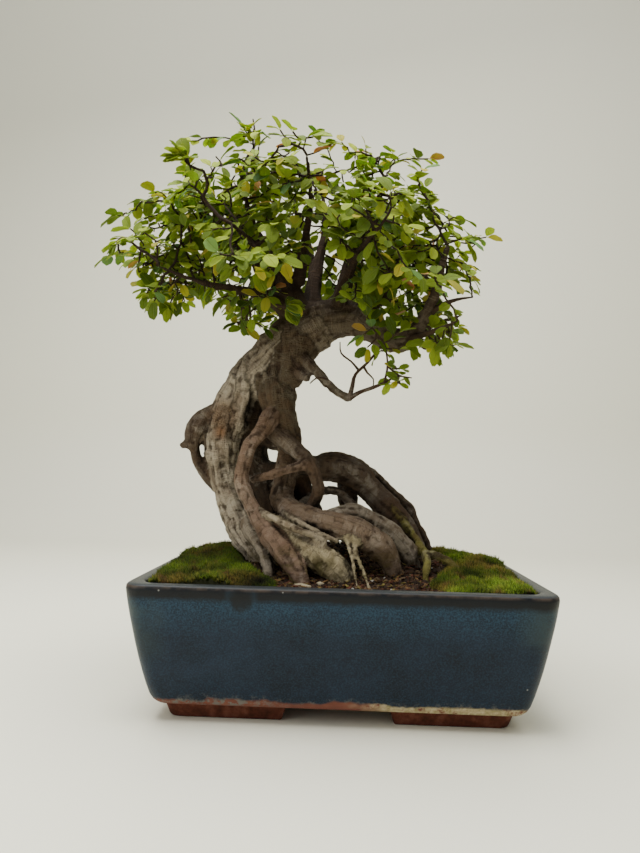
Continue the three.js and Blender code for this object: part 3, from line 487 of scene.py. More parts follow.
# Wood.
# Each path's rows are [x, y, z, radius]; tint is the bark's colour on that root or limb, with painted shade
# in the umber and hollow tints.
barkTints = {
    "ash": (0.440, 0.375, 0.275), "cream": (0.42, 0.355, 0.215), "pale": (0.36, 0.30, 0.20),
    "grey": (0.285, 0.240, 0.175), "brown": (0.200, 0.145, 0.098), "pink": (0.215, 0.145, 0.100),
    # the umber tint is partly the bark's brown and partly painted shade under the crown
    "mossy": (0.22, 0.20, 0.055), "dark": (0.105, 0.078, 0.055), "shadedUmber": (0.088, 0.070, 0.045),
    # the hollow tint is near-black, painted shade for the wood inside the hollow behind the roots
    "hollowShade": (0.040, 0.029, 0.019), "limb": (0.042, 0.028, 0.019), "twig": (0.045, 0.026, 0.018),
}
woodPaths = {
    "leftColumn": ("ash", [
        [-42, -8, 74, 11], [-50, -6, 88, 13], [-66, 0, 104, 12], [-77, 4, 122, 11.6], [-85, 6, 140, 12],
        [-89, 5, 158, 11.6], [-90, 3, 174, 12.9], [-87, 2, 189, 14.6], [-79, 2, 206, 15.4],
        [-67, 2, 221, 17.2], [-52, 0, 236, 18.6], [-36, -2, 250, 19], [-20, -4, 260, 17]]),
    "innerColumn": ("ash", [
        [-72, -2, 224, 10], [-73, -4, 209, 9.5], [-76, -4, 196, 8.6], [-80, -3, 182, 7.5]]),
    # the shoulder and the right column are tinted umber: brown bark with painted shade of the crown
    "shoulder": ("shadedUmber", [[-38, -6, 246, 14.5], [-38, -8, 232, 11.6], [-42, -9, 216, 9.4]]),
    "rightColumn": ("shadedUmber", [
        [-54, 0, 228, 13], [-50, -6, 212, 12.8], [-47, -8, 198, 11.8], [-43, -8, 185, 10],
        [-39, -6, 173, 8.5]]),
    "ringRoot": ("dark", [
        [-55, -12, 184, 5], [-47, -15, 178, 6.4], [-35, -18, 169, 6.2], [-25, -20, 160, 5.2],
        [-19, -22, 150, 4.7], [-17, -20, 141, 4.6], [-20, -16, 131, 4.4], [-28, -14, 122, 4.4]]),
    "kneeRoot": ("brown", [
        [-39, -4, 176, 8.6], [-40, 0, 161, 8], [-42, 0, 146, 7.9], [-43, -9, 132, 8.4],
        [-33, -23, 124, 9.2], [-18, -32, 120, 9.1], [-1, -38, 117, 9.3], [13, -40, 112, 9.6],
        [25, -38, 105, 8.8], [33, -35, 93, 7], [35, -34, 76, 5]]),
    "crossRoot": ("pink", [
        [-64, -20, 146, 2.6], [-50, -26, 150, 3.2], [-38, -26, 154, 3.3], [-28, -24, 157, 3.5],
        [-22, -18, 160, 3]]),
    "frontRoot": ("pink", [
        [-50, -9, 196, 5.4], [-53, -19, 189, 6.2], [-58, -26, 179, 5.4], [-64, -30, 170, 5.2],
        [-67, -32, 160, 5], [-69, -32, 149, 4.9], [-67, -33, 139, 4.9], [-61, -35, 128, 5.1],
        [-55, -38, 119, 5.6], [-47, -40, 110, 6.2], [-38, -42, 98, 5.6]]),
    "loopRoot": ("dark", [
        [-86, 4, 198, 5], [-96, 2, 195, 6.4], [-103, 0, 190, 7.4], [-108, -2, 182, 8], [-110, -2, 174, 6.6],
        [-109, 0, 165, 3.8], [-106, 3, 156, 4.2], [-94, 7, 140, 4.4]]),
    "loopNub": ("dark", [[-112, -2, 172, 3.6], [-119, -3, 169, 2.2]]),
    "heel": ("grey", [
        [-66, -12, 116, 6.4], [-61, -22, 109, 6.2], [-54, -31, 101, 5.2], [-49, -38, 90, 4.4],
        [-46, -42, 77, 3.6]]),
    "leftFootRoot": ("pink", [
        [-56, -28, 120, 6.6], [-46, -42, 109, 7.4], [-37, -50, 100, 7.3], [-29, -54, 91, 6.8],
        [-23, -55, 76, 5]]),
    "rightFootRoot": ("cream", [
        [-56, -18, 116, 9], [-40, -32, 110, 9.6], [-25, -42, 103, 9.8], [-12, -46, 96, 10.2],
        [-1, -46, 89, 9.4], [6, -44, 75, 7]]),
    "strandOne": ("pale", [
        [-60, -33, 128, 2.6], [-46, -44, 122, 2.6], [-34, -51, 117, 2.5], [-22, -53, 113, 2.3],
        [-10, -50, 106, 2]]),
    "strandTwo": ("pale", [
        [-43, -16, 129, 2.4], [-36, -32, 122, 2], [-26, -43, 118, 2], [-14, -49, 113, 1.8],
        [-2, -46, 107, 1.8]]),
    "archRoot": ("dark", [
        [-40, 0, 160, 7], [-21, 10, 156, 9.2], [-6, 16, 155, 10.2], [7, 20, 151, 10.6], [19, 22, 142, 10],
        [32, 22, 129, 9.8], [44, 18, 115, 9.5], [52, 12, 101, 8.6], [57, 8, 78, 7]]),
    "archRidge": ("dark", [
        [-25, 14, 157, 4.2], [-13, 20, 163, 4.8], [0, 24, 163, 4.8], [12, 27, 159, 4.8], [23, 28, 149, 4]]),
    "outerRoot": ("dark", [
        [7, 25, 160, 3], [23, 34, 154, 2.8], [36, 38, 142, 2.8], [47, 40, 132, 3.2], [52, 40, 126, 4.4],
        [56, 38, 118, 3.2], [61, 34, 109, 2.9], [66, 28, 98, 2.7], [69, 24, 80, 2.4]]),
    "innerArch": ("grey", [
        [-34, -10, 126, 3.4], [-22, 6, 135, 3.3], [-13, 12, 139, 3.4], [-3, 15, 138, 3.5],
        [5, 13, 132, 3.6], [12, 6, 124, 3.6], [20, -10, 116, 3.4]]),
    "broadRoot": ("grey", [
        [-14, -30, 119, 6.4], [-2, -20, 123, 6.5], [10, -15, 124, 6.8], [22, -14, 118, 7.4],
        [34, -14, 111, 7.6], [43, -13, 102, 7.3], [49, -11, 91, 6.4], [52, -10, 76, 5]]),
    "mossyRoot": ("mossy", [
        [36, 16, 128, 3], [45, 10, 119, 2.8], [51, 2, 110, 2.7], [55, -8, 103, 2.9], [58, -18, 98, 3.2],
        [58, -29, 93, 2.7], [56, -39, 87, 2.4], [54, -45, 75, 2.1]]),
    "mossyFork": ("mossy", [
        [57, -16, 99, 2.9], [67, -21, 97, 2.8], [76, -24, 92, 2.6], [85, -27, 76, 2.2]]),
    "rootletOne": ("cream", [[3, -43, 110, 1.5], [7, -56, 98, 1.3], [9, -61, 89, 1.2], [12, -64, 75, 1.1]]),
    "rootletTwo": ("cream", [
        [8, -42, 110, 1.6], [11, -54, 98, 1.4], [15, -61, 89, 1.3], [20, -66, 75, 1.2]]),
    "backLeftRoot": ("grey", [
        [-86, 10, 154, 8], [-89, 22, 133, 7.6], [-85, 33, 114, 7.8], [-76, 41, 98, 7], [-66, 46, 75, 5.4]]),
    "backMiddleRoot": ("grey", [
        [-42, 2, 150, 8], [-45, 14, 136, 8.8], [-42, 28, 120, 9.4], [-33, 38, 106, 8.8], [-24, 45, 94, 7.6],
        [-17, 50, 75, 5.6]]),
    "backRightRoot": ("dark", [
        [2, 20, 150, 7.4], [4, 34, 134, 7.4], [7, 44, 115, 7.2], [13, 50, 98, 6.6], [19, 54, 75, 5]]),
    # wood at the back of the hollow, tinted near-black as painted shade
    "hollowBack": ("hollowShade", [
        [-70, 4, 214, 9], [-68, 8, 200, 11.5], [-66, 10, 186, 11.5], [-69, 12, 172, 12.2],
        [-68, 13, 158, 12.2], [-62, 12, 144, 10.5], [-56, 8, 130, 9], [-52, 4, 116, 8]]),
    "hollowSill": ("hollowShade", [[-66, 10, 152, 7], [-54, 8, 152.5, 7.4], [-42, 6, 152, 6]]),
    "hollowLintel": ("hollowShade", [[-62, 4, 179, 6.4], [-52, 2, 174.5, 6], [-42, 0, 174, 5.4]]),
    "hollowRoot": ("hollowShade", [
        [-42, 8, 168, 6], [-38, 12, 156, 8], [-33, 13, 144, 8.6], [-26, 11, 132, 7], [-18, 8, 122, 5]]),
    "cutStub": ("dark", [[-36, -10, 226, 5], [-30, -18, 221, 3.9], [-26, -22, 218, 3.1]]),
    # the hanging limb's umber tint is partly painted shade under the crown
    "hangingLimb": ("shadedUmber", [
        [-36, -8, 238, 4.2], [-28, -16, 232, 3.9], [-21, -22, 224, 3.7], [-12, -28, 214, 3.4],
        [-4, -32, 207, 3], [4, -34, 203, 2.6]]),
    "rightLimb": ("grey", [
        [-34, -3, 252, 17], [-22, -4, 261, 16.4], [-7, -6, 264, 14.2], [10, -10, 262, 12],
        [24, -16, 253, 10], [35, -22, 245, 8.2], [44, -26, 247, 6.7], [51, -30, 256, 5.4],
        [57, -34, 267, 4.3], [61, -38, 279, 3.4], [63, -42, 292, 2.7], [67, -46, 306, 2]]),
    "rightBackLimb": ("limb", [
        [28, -14, 252, 6], [44, 2, 256, 4.4], [60, 18, 264, 3.4], [76, 32, 273, 2.6], [92, 44, 281, 1.9]]),
    "rightTopLimb": ("limb", [
        [8, -6, 266, 7], [26, -2, 282, 5.2], [42, 2, 299, 4], [58, 4, 315, 3], [74, 4, 331, 2.2]]),
    "upRightLimb": ("limb", [
        [-12, -4, 264, 9.4], [-4, 0, 284, 7.4], [0, 4, 303, 5.9], [3, 6, 320, 4.7], [10, 4, 337, 3.7],
        [19, 0, 353, 2.8], [27, -4, 370, 2]]),
    "upLeftLimb": ("limb", [
        [-30, -5, 256, 12.5], [-39, -8, 278, 8.8], [-46, -10, 293, 7.2], [-55, -14, 307, 5.6],
        [-64, -18, 320, 4.4], [-71, -22, 336, 3.4], [-75, -26, 352, 2.7], [-79, -30, 370, 2]]),
    "upMiddleLimb": ("limb", [
        [-25, 0, 264, 9.6], [-26, 10, 289, 7.2], [-23, 18, 312, 5.6], [-19, 22, 335, 4.3],
        [-19, 25, 358, 3.2], [-23, 26, 382, 2.2]]),
    "leftLimb": ("limb", [
        [-38, -6, 266, 8], [-55, -18, 275, 5], [-69, -26, 278, 4], [-84, -33, 279, 3.3],
        [-98, -40, 280, 2.7], [-112, -46, 283, 2.2], [-127, -52, 288, 1.7]]),
    "leftTopLimb": ("limb", [
        [-47, -8, 292, 6], [-64, -2, 303, 4.2], [-78, 4, 315, 3.4], [-90, 8, 328, 2.8],
        [-103, 12, 343, 2.3], [-116, 14, 359, 1.8]]),
    "leftBackLimb": ("limb", [
        [-42, -4, 276, 6.6], [-60, 8, 285, 4.4], [-81, 18, 291, 3.4], [-102, 26, 295, 2.6],
        [-124, 32, 301, 1.8]]),
    "frontLeftLimb": ("limb", [
        [-40, -8, 276, 6], [-50, -30, 291, 4], [-60, -52, 301, 3], [-74, -76, 308, 2]]),
    "frontRightLimb": ("limb", [
        [-8, -6, 268, 6.6], [-1, -30, 286, 4.4], [8, -54, 299, 3.2], [20, -80, 306, 2]]),
    "frontTopLimb": ("limb", [
        [-36, -8, 290, 5.4], [-30, -28, 316, 3.8], [-26, -48, 338, 2.8], [-28, -66, 358, 2]]),
    "backLeftLimb": ("limb", [
        [-34, 2, 272, 7], [-50, 26, 287, 4.6], [-67, 50, 299, 3.2], [-86, 76, 307, 2]]),
    "backRightLimb": ("limb", [[-4, 0, 268, 7], [12, 26, 281, 4.6], [31, 52, 292, 3.2], [50, 78, 299, 2]]),
    "backTopLimb": ("limb", [
        [-25, 12, 292, 5.6], [-28, 36, 318, 3.8], [-32, 56, 341, 2.8], [-36, 70, 360, 2]]),
}
thinPaths = {
    "hangingFork": ("twig", [
        [3, -34, 202, 2.2], [5, -37, 211, 1.7], [7, -39, 219, 1.4], [15, -41, 227, 1.1],
        [24, -42, 238, 0.9]]),
    "hangingTip": ("twig", [
        [3, -34, 203, 2.2], [10, -38, 207, 1.5], [19, -42, 210, 1.2], [27, -46, 213, 0.9]]),
    "hangingSpur": ("twig", [
        [-8, -31, 211, 1.2], [-12, -33, 216, 0.8], [-19, -34, 217, 0.6], [-24, -33, 213, 0.4]]),
    "forkSpur": ("twig", [[9, -39, 222, 1], [4, -37, 228, 0.7], [-3, -35, 234, 0.6], [-4, -34, 242, 0.4]]),
    "forkHook": ("twig", [
        [12, -40, 225, 0.9], [15, -40, 220, 0.7], [19, -40, 216, 0.5], [19, -40, 211, 0.4]]),
    "tipSpur": ("twig", [[27, -46, 213, 0.8], [34, -47, 217, 0.6], [44, -48, 216, 0.4]]),
    "topTwig": ("twig", [
        [-77, -27, 362, 1.4], [-75, -18, 380, 1.1], [-71, -8, 394, 0.9], [-72, -4, 407, 0.7],
        [-74, -2, 418, 0.5]]),
    "hangingTwig": ("twig", [[26, -46, 212, 0.9], [28, -45, 224, 0.8], [27, -43, 236, 0.6]]),
    "rightLowTwig": ("twig", [
        [51, -30, 257, 3.2], [63, -36, 267, 2.0], [74, -40, 271, 1.3], [84, -43, 272, 0.5]]),
    "rightFrontTwig": ("twig", [
        [42, -26, 246, 3.4], [54, -42, 247, 2.1], [64, -54, 249, 1.3], [71, -63, 251, 0.5]]),
}
bark = {
    "voxel": 1.4, "sampleStep": 3.0, "knots": 0.12, "twigKnots": 0.15, "limbSlimming": 0.42,
    # relief: ridges and lumps as a share of the radius up to thickWood, the others in millimetres
    "ridges": 0.136, "lumps": 0.12, "thickWood": 12.0, "grain": 0.55, "rings": 0.16,
    "crackDepth": 0.6, "crackedFrom": 8,
    "scar": (-87, -8, 191), "scarReach": 18, "flakeDepth": 1.6,
    "crease": {"x": -68, "wave": 2.5, "low": 187, "high": 236, "front": 6, "width": 3.4, "depth": 3.2},
    # for the painted shade in hollows: how close wood shuts a place in, and the directions that are tried,
    # beside the surface's own
    "hollowReach": 24,
    "looks": [(0, 0, 0), (0.9, 0.2, 0), (-0.7, 0.6, 0), (-0.2, -0.9, 0.1), (0, 0.1, 0.9), (0.1, 0, -0.8)],
    # colours mixed with the root's own tint, and how much of each
    "casts": {"brownCast": (0.6, (0.098, 0.055, 0.028)), "lightCast": (0.34, (0.52, 0.46, 0.36))},
    "scarTints": ((0.070, 0.036, 0.018), (0.235, 0.150, 0.085)), "rust": (-89, -12, 179),
    # layers from below up: what each follows, where it begins and is full, its share and its colour
    "layers": [
        ("blotches", (0.5, 0.64), 1.0, "brownCast"),
        ("blotches", (0.46, 0.36), 0.75, "lightCast"),
        ("wide", (0.5, 0.62), 0.5, "brownCast"),
        # painted shade: wood under the crown from 205 up, and deeper inside it from 258 up, is darker, as if
        # in the crown's shadow
        ("height", (205, 250), 0.78, (0.068, 0.047, 0.028)),
        ("height", (258, 282), 0.86, (0.027, 0.017, 0.011)),
        ("rings", (0.54, 0.64), 0.6, "brownCast"),
        ("stripes", (0.55, 0.68), 0.45, (0.06, 0.04, 0.026)),
        ("fromScar", (20, 13), 0.8, "scarBark"),
        ("fromRust", (10, 6), 0.65, (0.235, 0.105, 0.042)),
        ("shade", (0.47, 0.22), 0.82, (0.036, 0.022, 0.014)),
        ("specks", (0.6, 0.7), 0.38, (0.034, 0.023, 0.016)),
        ("damp", (0, 1), 0.55, (0.105, 0.105, 0.022)),
        # painted shade: darker where wood close by shuts the bark in, in hollows and crevices
        ("hollowShade", (0.22, 0.85), 0.93, (0.011, 0.0075, 0.005)),
    ],
    "dampBelow": (106, 86), "dampPatches": (0.48, 0.60), "roughness": 0.84, "specular": 0.1, "relief": 0.0023,
}


def sampled(rows, step):  # evenly spaced points on a smooth curve through the rows, with its radius
    points = [Vector(row) for row in rows]
    points = [2 * points[0] - points[1]] + points + [2 * points[-1] - points[-2]]
    result = []
    for i in range(1, len(points) - 2):
        a, b, c, d = points[i - 1:i + 3]
        count = max(2, round((c.xyz - b.xyz).length / step))
        for j in range(count):
            t = j / count
            result.append(0.5 * (2 * b + (c - a) * t + (2 * a - 5 * b + 4 * c - d) * t ** 2
                                 + (3 * b - a - 3 * c + d) * t ** 3))
    result.append(points[-2].copy())
    return [(p.xyz, max(p.w, 0.4)) for p in result]


def tubes(paths, name, sides, knots):
    curve = bpy.data.curves.new(name, "CURVE")
    curve.dimensions = "3D"
    curve.bevel_depth = 1.0
    curve.bevel_resolution = sides
    curve.use_fill_caps = True
    for index, path in enumerate(paths):
        spline = curve.splines.new("POLY")
        spline.points.add(len(path) - 1)
        for point, (spot, radius) in zip(spline.points, path):
            swell = 1 + knots * noise.noise(spot * 0.11 + Vector((index * 7.3, 0, 0)))
            point.co = (*spot, 1)
            point.radius = radius * swell
    holder = bpy.data.objects.new(name, curve)
    bpy.context.collection.objects.link(holder)
    mesh = bpy.data.meshes.new_from_object(holder.evaluated_get(bpy.context.evaluated_depsgraph_get()))
    bpy.data.objects.remove(holder)
    mesh.name = name
    return mesh


def findHollowShade(mesh):  # for each point, the share of the open side that wood close by shuts in, used to paint shade into the bark's hollows
    tree = BVHTree.FromPolygons([v.co for v in mesh.vertices], [p.vertices for p in mesh.polygons])
    looks = [Vector(look) for look in bark["looks"]]
    hollows = []
    for vert in mesh.vertices:
        start = vert.co + vert.normal * 0.5
        ways = [(vert.normal + look).normalized() for look in looks]
        hits = [tree.ray_cast(start, way, bark["hollowReach"])[0] for way in ways]
        hollows.append(sum(hit is not None for hit in hits) / len(hits))
    return hollows


def stationsAlong(paths, tints):  # every path's points: place, radius, direction, distance along it, tint
    stations = []
    for path, tint in zip(paths, tints):
        along = 0.0
        for i, (spot, radius) in enumerate(path):
            if i:
                along += (spot - path[i - 1][0]).length
            ahead = (path[min(i + 1, len(path) - 1)][0] - path[max(i - 1, 0)][0]).normalized()
            stations.append((spot, radius, ahead, along, tint))
    return stations


def straightened(co, station):  # the turn around the root, and the place as if the root were straight
    spot, radius, ahead, along, _ = station
    out = co - spot
    reach = out.dot(ahead)
    out -= ahead * reach
    side = ahead.orthogonal() if abs(ahead.x) > 0.9 else ahead.cross(Vector((1, 0, 0)))
    side.normalize()
    turn = math.atan2(out.dot(ahead.cross(side)), out.dot(side))
    return turn, Vector((math.cos(turn) * radius, math.sin(turn) * radius, along + reach))


def barkRelief(co, local, turn, radius, spot):  # the height of the bark, and how light it is there
    ridge = noise.noise(Vector((local.x * 0.32, local.y * 0.32, local.z * 0.035)) + spot * 0.001)
    lump = noise.noise(co * 0.085)
    fine = noise.fractal(co * 0.24, 1.0, 2.0, 2)
    height = min(radius, bark["thickWood"]) * (bark["ridges"] * ridge + bark["lumps"] * lump)
    height += bark["grain"] * fine
    plates = noise.voronoi(Vector((local.x * 0.16, local.y * 0.16, local.z * 0.10)))[0]
    crack = min(1.0, (plates[1] - plates[0]) * 4.5)
    if radius > bark["crackedFrom"]:
        height += bark["crackDepth"] * (crack - 0.6)
    height += bark["rings"] * noise.noise(Vector((turn * 0.4, 3.1, local.z * 0.4)))
    return height, 0.5 + 0.35 * ridge + 0.3 * fine + 0.22 * (crack - 0.7)


def scarAndCrease(co):  # flakes around the old scar, and the crease down the trunk's front
    height = 0.0
    scarred = 1 - (co - Vector(bark["scar"])).length / bark["scarReach"]
    if scarred > 0:
        flake = noise.voronoi(co * 0.32)[0]
        height += bark["flakeDepth"] * min(scarred * 2, 1) * (min(1.0, (flake[1] - flake[0]) * 2.5) - 0.5)
    crease = bark["crease"]
    away = abs(co.x - crease["x"] - crease["wave"] * math.sin(co.z * 0.13))
    if co.y < crease["front"] and crease["low"] < co.z < crease["high"] and away < crease["width"]:
        height -= crease["depth"] * (1 - away / crease["width"])
    return height


def dressBark(mesh, paths, tints, rough):
    # Finds each point's place along and around its root and stores it as barkSpace, a straightened
    # space in millimetres with its third axis along the root. A rough mesh also gets the bark's relief,
    # and the painted shade of its hollows.
    stations = stationsAlong(paths, tints)
    tree = KDTree(len(stations))
    for i, station in enumerate(stations):
        tree.insert(station[0], i)
    tree.balance()
    space, tintValues, shade, moved = [], [], [], []
    for vert, normal in zip(mesh.vertices, [v.normal.copy() for v in mesh.vertices]):
        near = tree.find_n(vert.co, 8)
        best = min(near, key=lambda hit: hit[2] / stations[hit[1]][1] + 0.04 * hit[2])
        spot, radius, _, _, tint = stations[best[1]]
        turn, local = straightened(vert.co, stations[best[1]])
        height, light = barkRelief(vert.co, local, turn, radius, spot)
        if rough:
            moved.extend(vert.co + normal * (height + scarAndCrease(vert.co)))
        space.extend(local)
        tintValues.extend((*tint, 1))
        shade.append(light)
    if rough:
        mesh.vertices.foreach_set("co", moved)
    mesh.attributes.new("barkSpace", "FLOAT_VECTOR", "POINT").data.foreach_set("vector", space)
    mesh.attributes.new("barkTint", "FLOAT_COLOR", "POINT").data.foreach_set("color", tintValues)
    mesh.attributes.new("barkShade", "FLOAT", "POINT").data.foreach_set("value", shade)
    hollows = findHollowShade(mesh) if rough else [0.0] * len(mesh.vertices)
    mesh.attributes.new("barkHollowShade", "FLOAT", "POINT").data.foreach_set("value", hollows)


def distanceTo(tree, spot, centre, blotches, waves):  # from a place on the bark, with an uneven edge
    away = addNode(tree, "ShaderNodeVectorMath", {0: spot, 1: centre}, operation="DISTANCE").outputs["Value"]
    return plus(tree, away, times(tree, blotches, waves))


def barkMaterial():
    material, tree, shader = newMaterial("greyBrownBark")
    spot = potSpace(tree)
    height = addNode(tree, "ShaderNodeSeparateXYZ", {"Vector": spot}).outputs["Z"]
    straight = addNode(tree, "ShaderNodeAttribute", attribute_name="barkSpace").outputs["Vector"]
    tint = addNode(tree, "ShaderNodeAttribute", attribute_name="barkTint").outputs["Color"]
    blotches, specks = mottled(tree, spot, 15.0, 0.8)
    rings = noiseAt(tree, stretched(tree, straight, (0.10, 0.10, 1.0)), 1.0, 3.0, 0.65)
    stripes = noiseAt(tree, stretched(tree, straight, (1.0, 1.0, 0.06)), 0.5)
    low = mask(tree, height, *bark["dampBelow"])
    follows = {
        "blotches": blotches, "specks": specks, "rings": rings, "stripes": stripes, "height": height,
        "wide": noiseAt(tree, spot, 0.035),
        "shade": addNode(tree, "ShaderNodeAttribute", attribute_name="barkShade").outputs["Fac"],
        # the share that is shut in, which sets the painted shade of the hollows
        "hollowShade": addNode(tree, "ShaderNodeAttribute", attribute_name="barkHollowShade").outputs["Fac"],
        "fromScar": distanceTo(tree, spot, bark["scar"], blotches, 10.0),
        "fromRust": distanceTo(tree, spot, bark["rust"], blotches, 6.0),
        "damp": times(tree, low, mask(tree, blotches, *bark["dampPatches"])),
    }
    tints = {name: mixed(tree, share, tint, cast) for name, (share, cast) in bark["casts"].items()}
    tints["scarBark"] = mixed(tree, mask(tree, specks, 0.42, 0.58), *bark["scarTints"])
    colour = tint
    for measure, (begins, full), share, over in bark["layers"]:
        colour = laid(tree, colour, tints.get(over, over), mask(tree, follows[measure], begins, full), share)
    tree.links.new(colour, shader.inputs["Base Color"])
    shader.inputs["Roughness"].default_value = bark["roughness"]
    shader.inputs["Specular IOR Level"].default_value = bark["specular"]
    relief = plus(tree, times(tree, rings, 0.7), times(tree, stripes, 0.8))
    relief = plus(tree, relief, times(tree, specks, 0.45))
    tree.links.new(bumped(tree, relief, bark["relief"]), shader.inputs["Normal"])
    return material


def slimmed(name, rows):  # limbs inside the crown are a little thinner toward their tips
    slim = name.endswith("Limb") and name not in ("rightLimb", "hangingLimb")
    slimming = bark["limbSlimming"] if slim else 0
    last = len(rows) - 1
    return [[*row[:3], row[3] * (1 - slimming * i / last)] for i, row in enumerate(rows)]


def buildWood():
    paths = [sampled(slimmed(name, rows), bark["sampleStep"]) for name, (_, rows) in woodPaths.items()]
    tints = [barkTints[tint] for tint, _ in woodPaths.values()]
    rough = tubes(paths, "roughWood", 4, bark["knots"])
    mesh = applied(rough, "treeWood", ("REMESH", {
        "mode": "VOXEL", "voxel_size": bark["voxel"], "adaptivity": 0.0, "use_smooth_shade": True}))
    dressBark(mesh, paths, tints, True)
    mesh.transform(toWorld)
    mesh.shade_smooth()
    return mesh


barkOfTree = barkMaterial()
newPiece("trunkAndRoots", buildWood(), barkOfTree, ["tree_wood"])
print("trunk and roots done")

# Foliage: the twigs grow from the limbs to points spaced over the solid model's own leaves.
sprayNodes = [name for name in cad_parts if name.startswith("spray_")]
crown = {
    "heart": (-34, 0, 290), "seed": 11, "spacing": 5.7, "step": 4.4, "near": 4.5, "bend": 0.28, "rounds": 70,
    "insideShare": 0.55, "insideReach": (0.62, 0.92), "insideLoose": 6, "limbClearance": 6,
    "siteStep": 11, "bareLimb": 0.4, "tipReach": 8, "drawIn": 0.955, "drawSteps": 11,
    "strays": [(-177, -10, 308), (-174, 0, 343), (-120, 0, 400), (62, 0, 388), (106, 0, 329), (-8, -4, 400),
               (-2, -12, 391), (4, 10, 386), (-14, 8, 394), (-26, -6, 404), (12, -6, 395)],
    # the crown's outline as the camera sees it: x and z on the upright plane through the trunk
    "outline": [
        (-189, 311), (-185, 344), (-172, 353), (-157, 368), (-132, 373), (-127, 409), (-110, 413),
        (-87, 421), (-42, 421), (-14, 416), (4, 413), (21, 402), (49, 400), (66, 392), (60, 379), (72, 360),
        (84, 351), (105, 344), (114, 330), (99, 318), (101, 301), (106, 282), (104, 269), (94, 255),
        (90, 243), (74, 243), (62, 225), (49, 225), (51, 213), (29, 197), (16, 209), (26, 229), (3, 247),
        (-12, 258), (-35, 280), (-49, 266), (-52, 248), (-85, 253), (-90, 274), (-105, 279), (-115, 268),
        (-136, 268), (-158, 278), (-167, 302)],
    "tipRadius": 0.42, "radiusGrowth": 0.17, "thickest": 1.6,
}
leaf = {
    "length": 10.6, "width": 6.8, "thickness": 0.2, "rows": 6, "tooth": 0.03,
    "sizes": (0.5, 1.42, 0.78),  # smallest, largest and commonest, times the length and width
    # fold, curl and wave
    "forms": [(0.30, 0.12, 1.0), (0.16, 0.22, -1.0), (0.42, 0.05, 0.6), (0.10, 0.32, 1.2)],
    "stalkLength": 2.6, "stalkRadii": (0.28, 0.22), "stalkReach": 1.6,
    "leafyTips": 5, "share": 0.95, "bareReach": 60, "bareShare": 0.5, "split": 322, "seed": 5,
    "lowSprays": (236, 0.78),  # leaves below this height are smaller by this share
    "outward": 0.35, "facing": (0, -0.25, 0.75), "flutter": 0.45,
    "endTurns": (0.2, -0.9), "sideTurns": (0.7, 1.15), "droop": (-0.35, 0.15),
}
# bright and dark are the green's lit and shaded copies, reached by painted light and shade and by random tone
leafTints = {
    "green": (0.172, 0.232, 0.020), "bright": (0.320, 0.360, 0.034), "dark": (0.060, 0.092, 0.016),
    "yellow": (0.46, 0.36, 0.045), "orange": (0.50, 0.17, 0.080), "blueGreen": (0.065, 0.150, 0.050),
}
leafTones = {  # leaves high up and far out are lighter, as painted light, and leaves low and near the heart darker, as painted shade; each share is a limit on one draw from 0 to 1
    "low": 230, "tall": 190, "reach": 150, "base": 0.10, "litByHeight": 0.36, "litByReach": 0.34, "spread": 0.42,
    "green": 0.6, "brightRise": 2, "orangeShare": 0.035, "yellowShare": 0.10, "blueGreenShare": 0.15,
    "orangeDepth": (0.4, 0.9), "yellowDepth": (0.3, 0.8), "blueGreenDepth": 0.7, "evenness": (0.85, 1.12),
}
leafFinish = {
    "ribCast": (0.24, 0.28, 0.04), "patchCast": (0.03, 0.06, 0.012), "veins": 9.0, "veinSlant": 7.0,
    "veinEdges": (0.42, 0.5), "ribEdges": (0.045, 0.015), "veinShare": 0.4, "ribShare": 0.7,
    "patches": (0.16, 3.0, 0.6, 0.55, 0.72), "patchShare": 0.6,
    "roughness": 0.58, "specular": 0.04, "subsurface": 0.45, "scatter": (0.8, 1.0, 0.25), "relief": 0.0004,
}


def leafTemplate(fold, curl, wave):
    bm = bmesh.new()
    bmesh.ops.create_grid(bm, x_segments=leaf["rows"], y_segments=2, size=0.5)
    for vert in bm.verts:
        along = vert.co.x + 0.5
        side = round(vert.co.y * 2)
        reach = 0.5 * math.sin(math.pi * (0.04 + 0.92 * along)) ** 0.62 if along < 0.99 else 0.07
        tooth = leaf["tooth"] if round(along * leaf["rows"]) % 2 else 0.0
        across = side * (reach + tooth)
        ripple = 0.02 * wave * math.sin(along * 8 + side) * abs(side)
        rise = fold * abs(across) * 0.5 - curl * along ** 2 + ripple
        along += tooth * abs(side)
        vert.co = Vector((along * leaf["length"], across * leaf["width"], rise * leaf["length"]))
    lower = bmesh.ops.extrude_face_region(bm, geom=bm.faces[:])["geom"]
    verts = [g for g in lower if isinstance(g, bmesh.types.BMVert)]
    bmesh.ops.translate(bm, vec=(0, 0, leaf["thickness"]), verts=verts)
    bmesh.ops.recalc_face_normals(bm, faces=bm.faces[:])
    thick, thin = leaf["stalkRadii"]
    lying = Matrix.Translation((-0.9, 0, 0.1)) @ Matrix.Rotation(math.pi / 2, 4, "Y")
    bmesh.ops.create_cone(bm, segments=3, radius1=thick, radius2=thin, depth=leaf["stalkLength"],
                          cap_ends=True, matrix=lying)
    layer = bm.loops.layers.uv.new("leafUV")
    for face in bm.faces:
        for loop in face.loops:
            loop[layer].uv = (loop.vert.co.x / leaf["length"], 0.5 + loop.vert.co.y / leaf["width"])
    mesh = meshFrom(bm, "leafTemplate", sharpAngle=50)
    mesh.attributes.new("leafTint", "FLOAT_COLOR", "POINT")
    return mesh


def anyDirection(chance):
    return Vector((chance.uniform(-1, 1), chance.uniform(-1, 1), chance.uniform(-1, 1)))


def drawnIn(point, heart):  # the point, or one nearer to the heart that shows inside the crown's outline
    eye = Vector(camera["spot"])
    for _ in range(crown["drawSteps"]):
        sight = point + (point - heart).normalized() * crown["tipReach"] - eye
        shown = eye + sight * (-eye.y / sight.y)
        if inOutline(shown.x, shown.z, crown["outline"]):
            return point
        point = heart.lerp(point, crown["drawIn"])
    return None


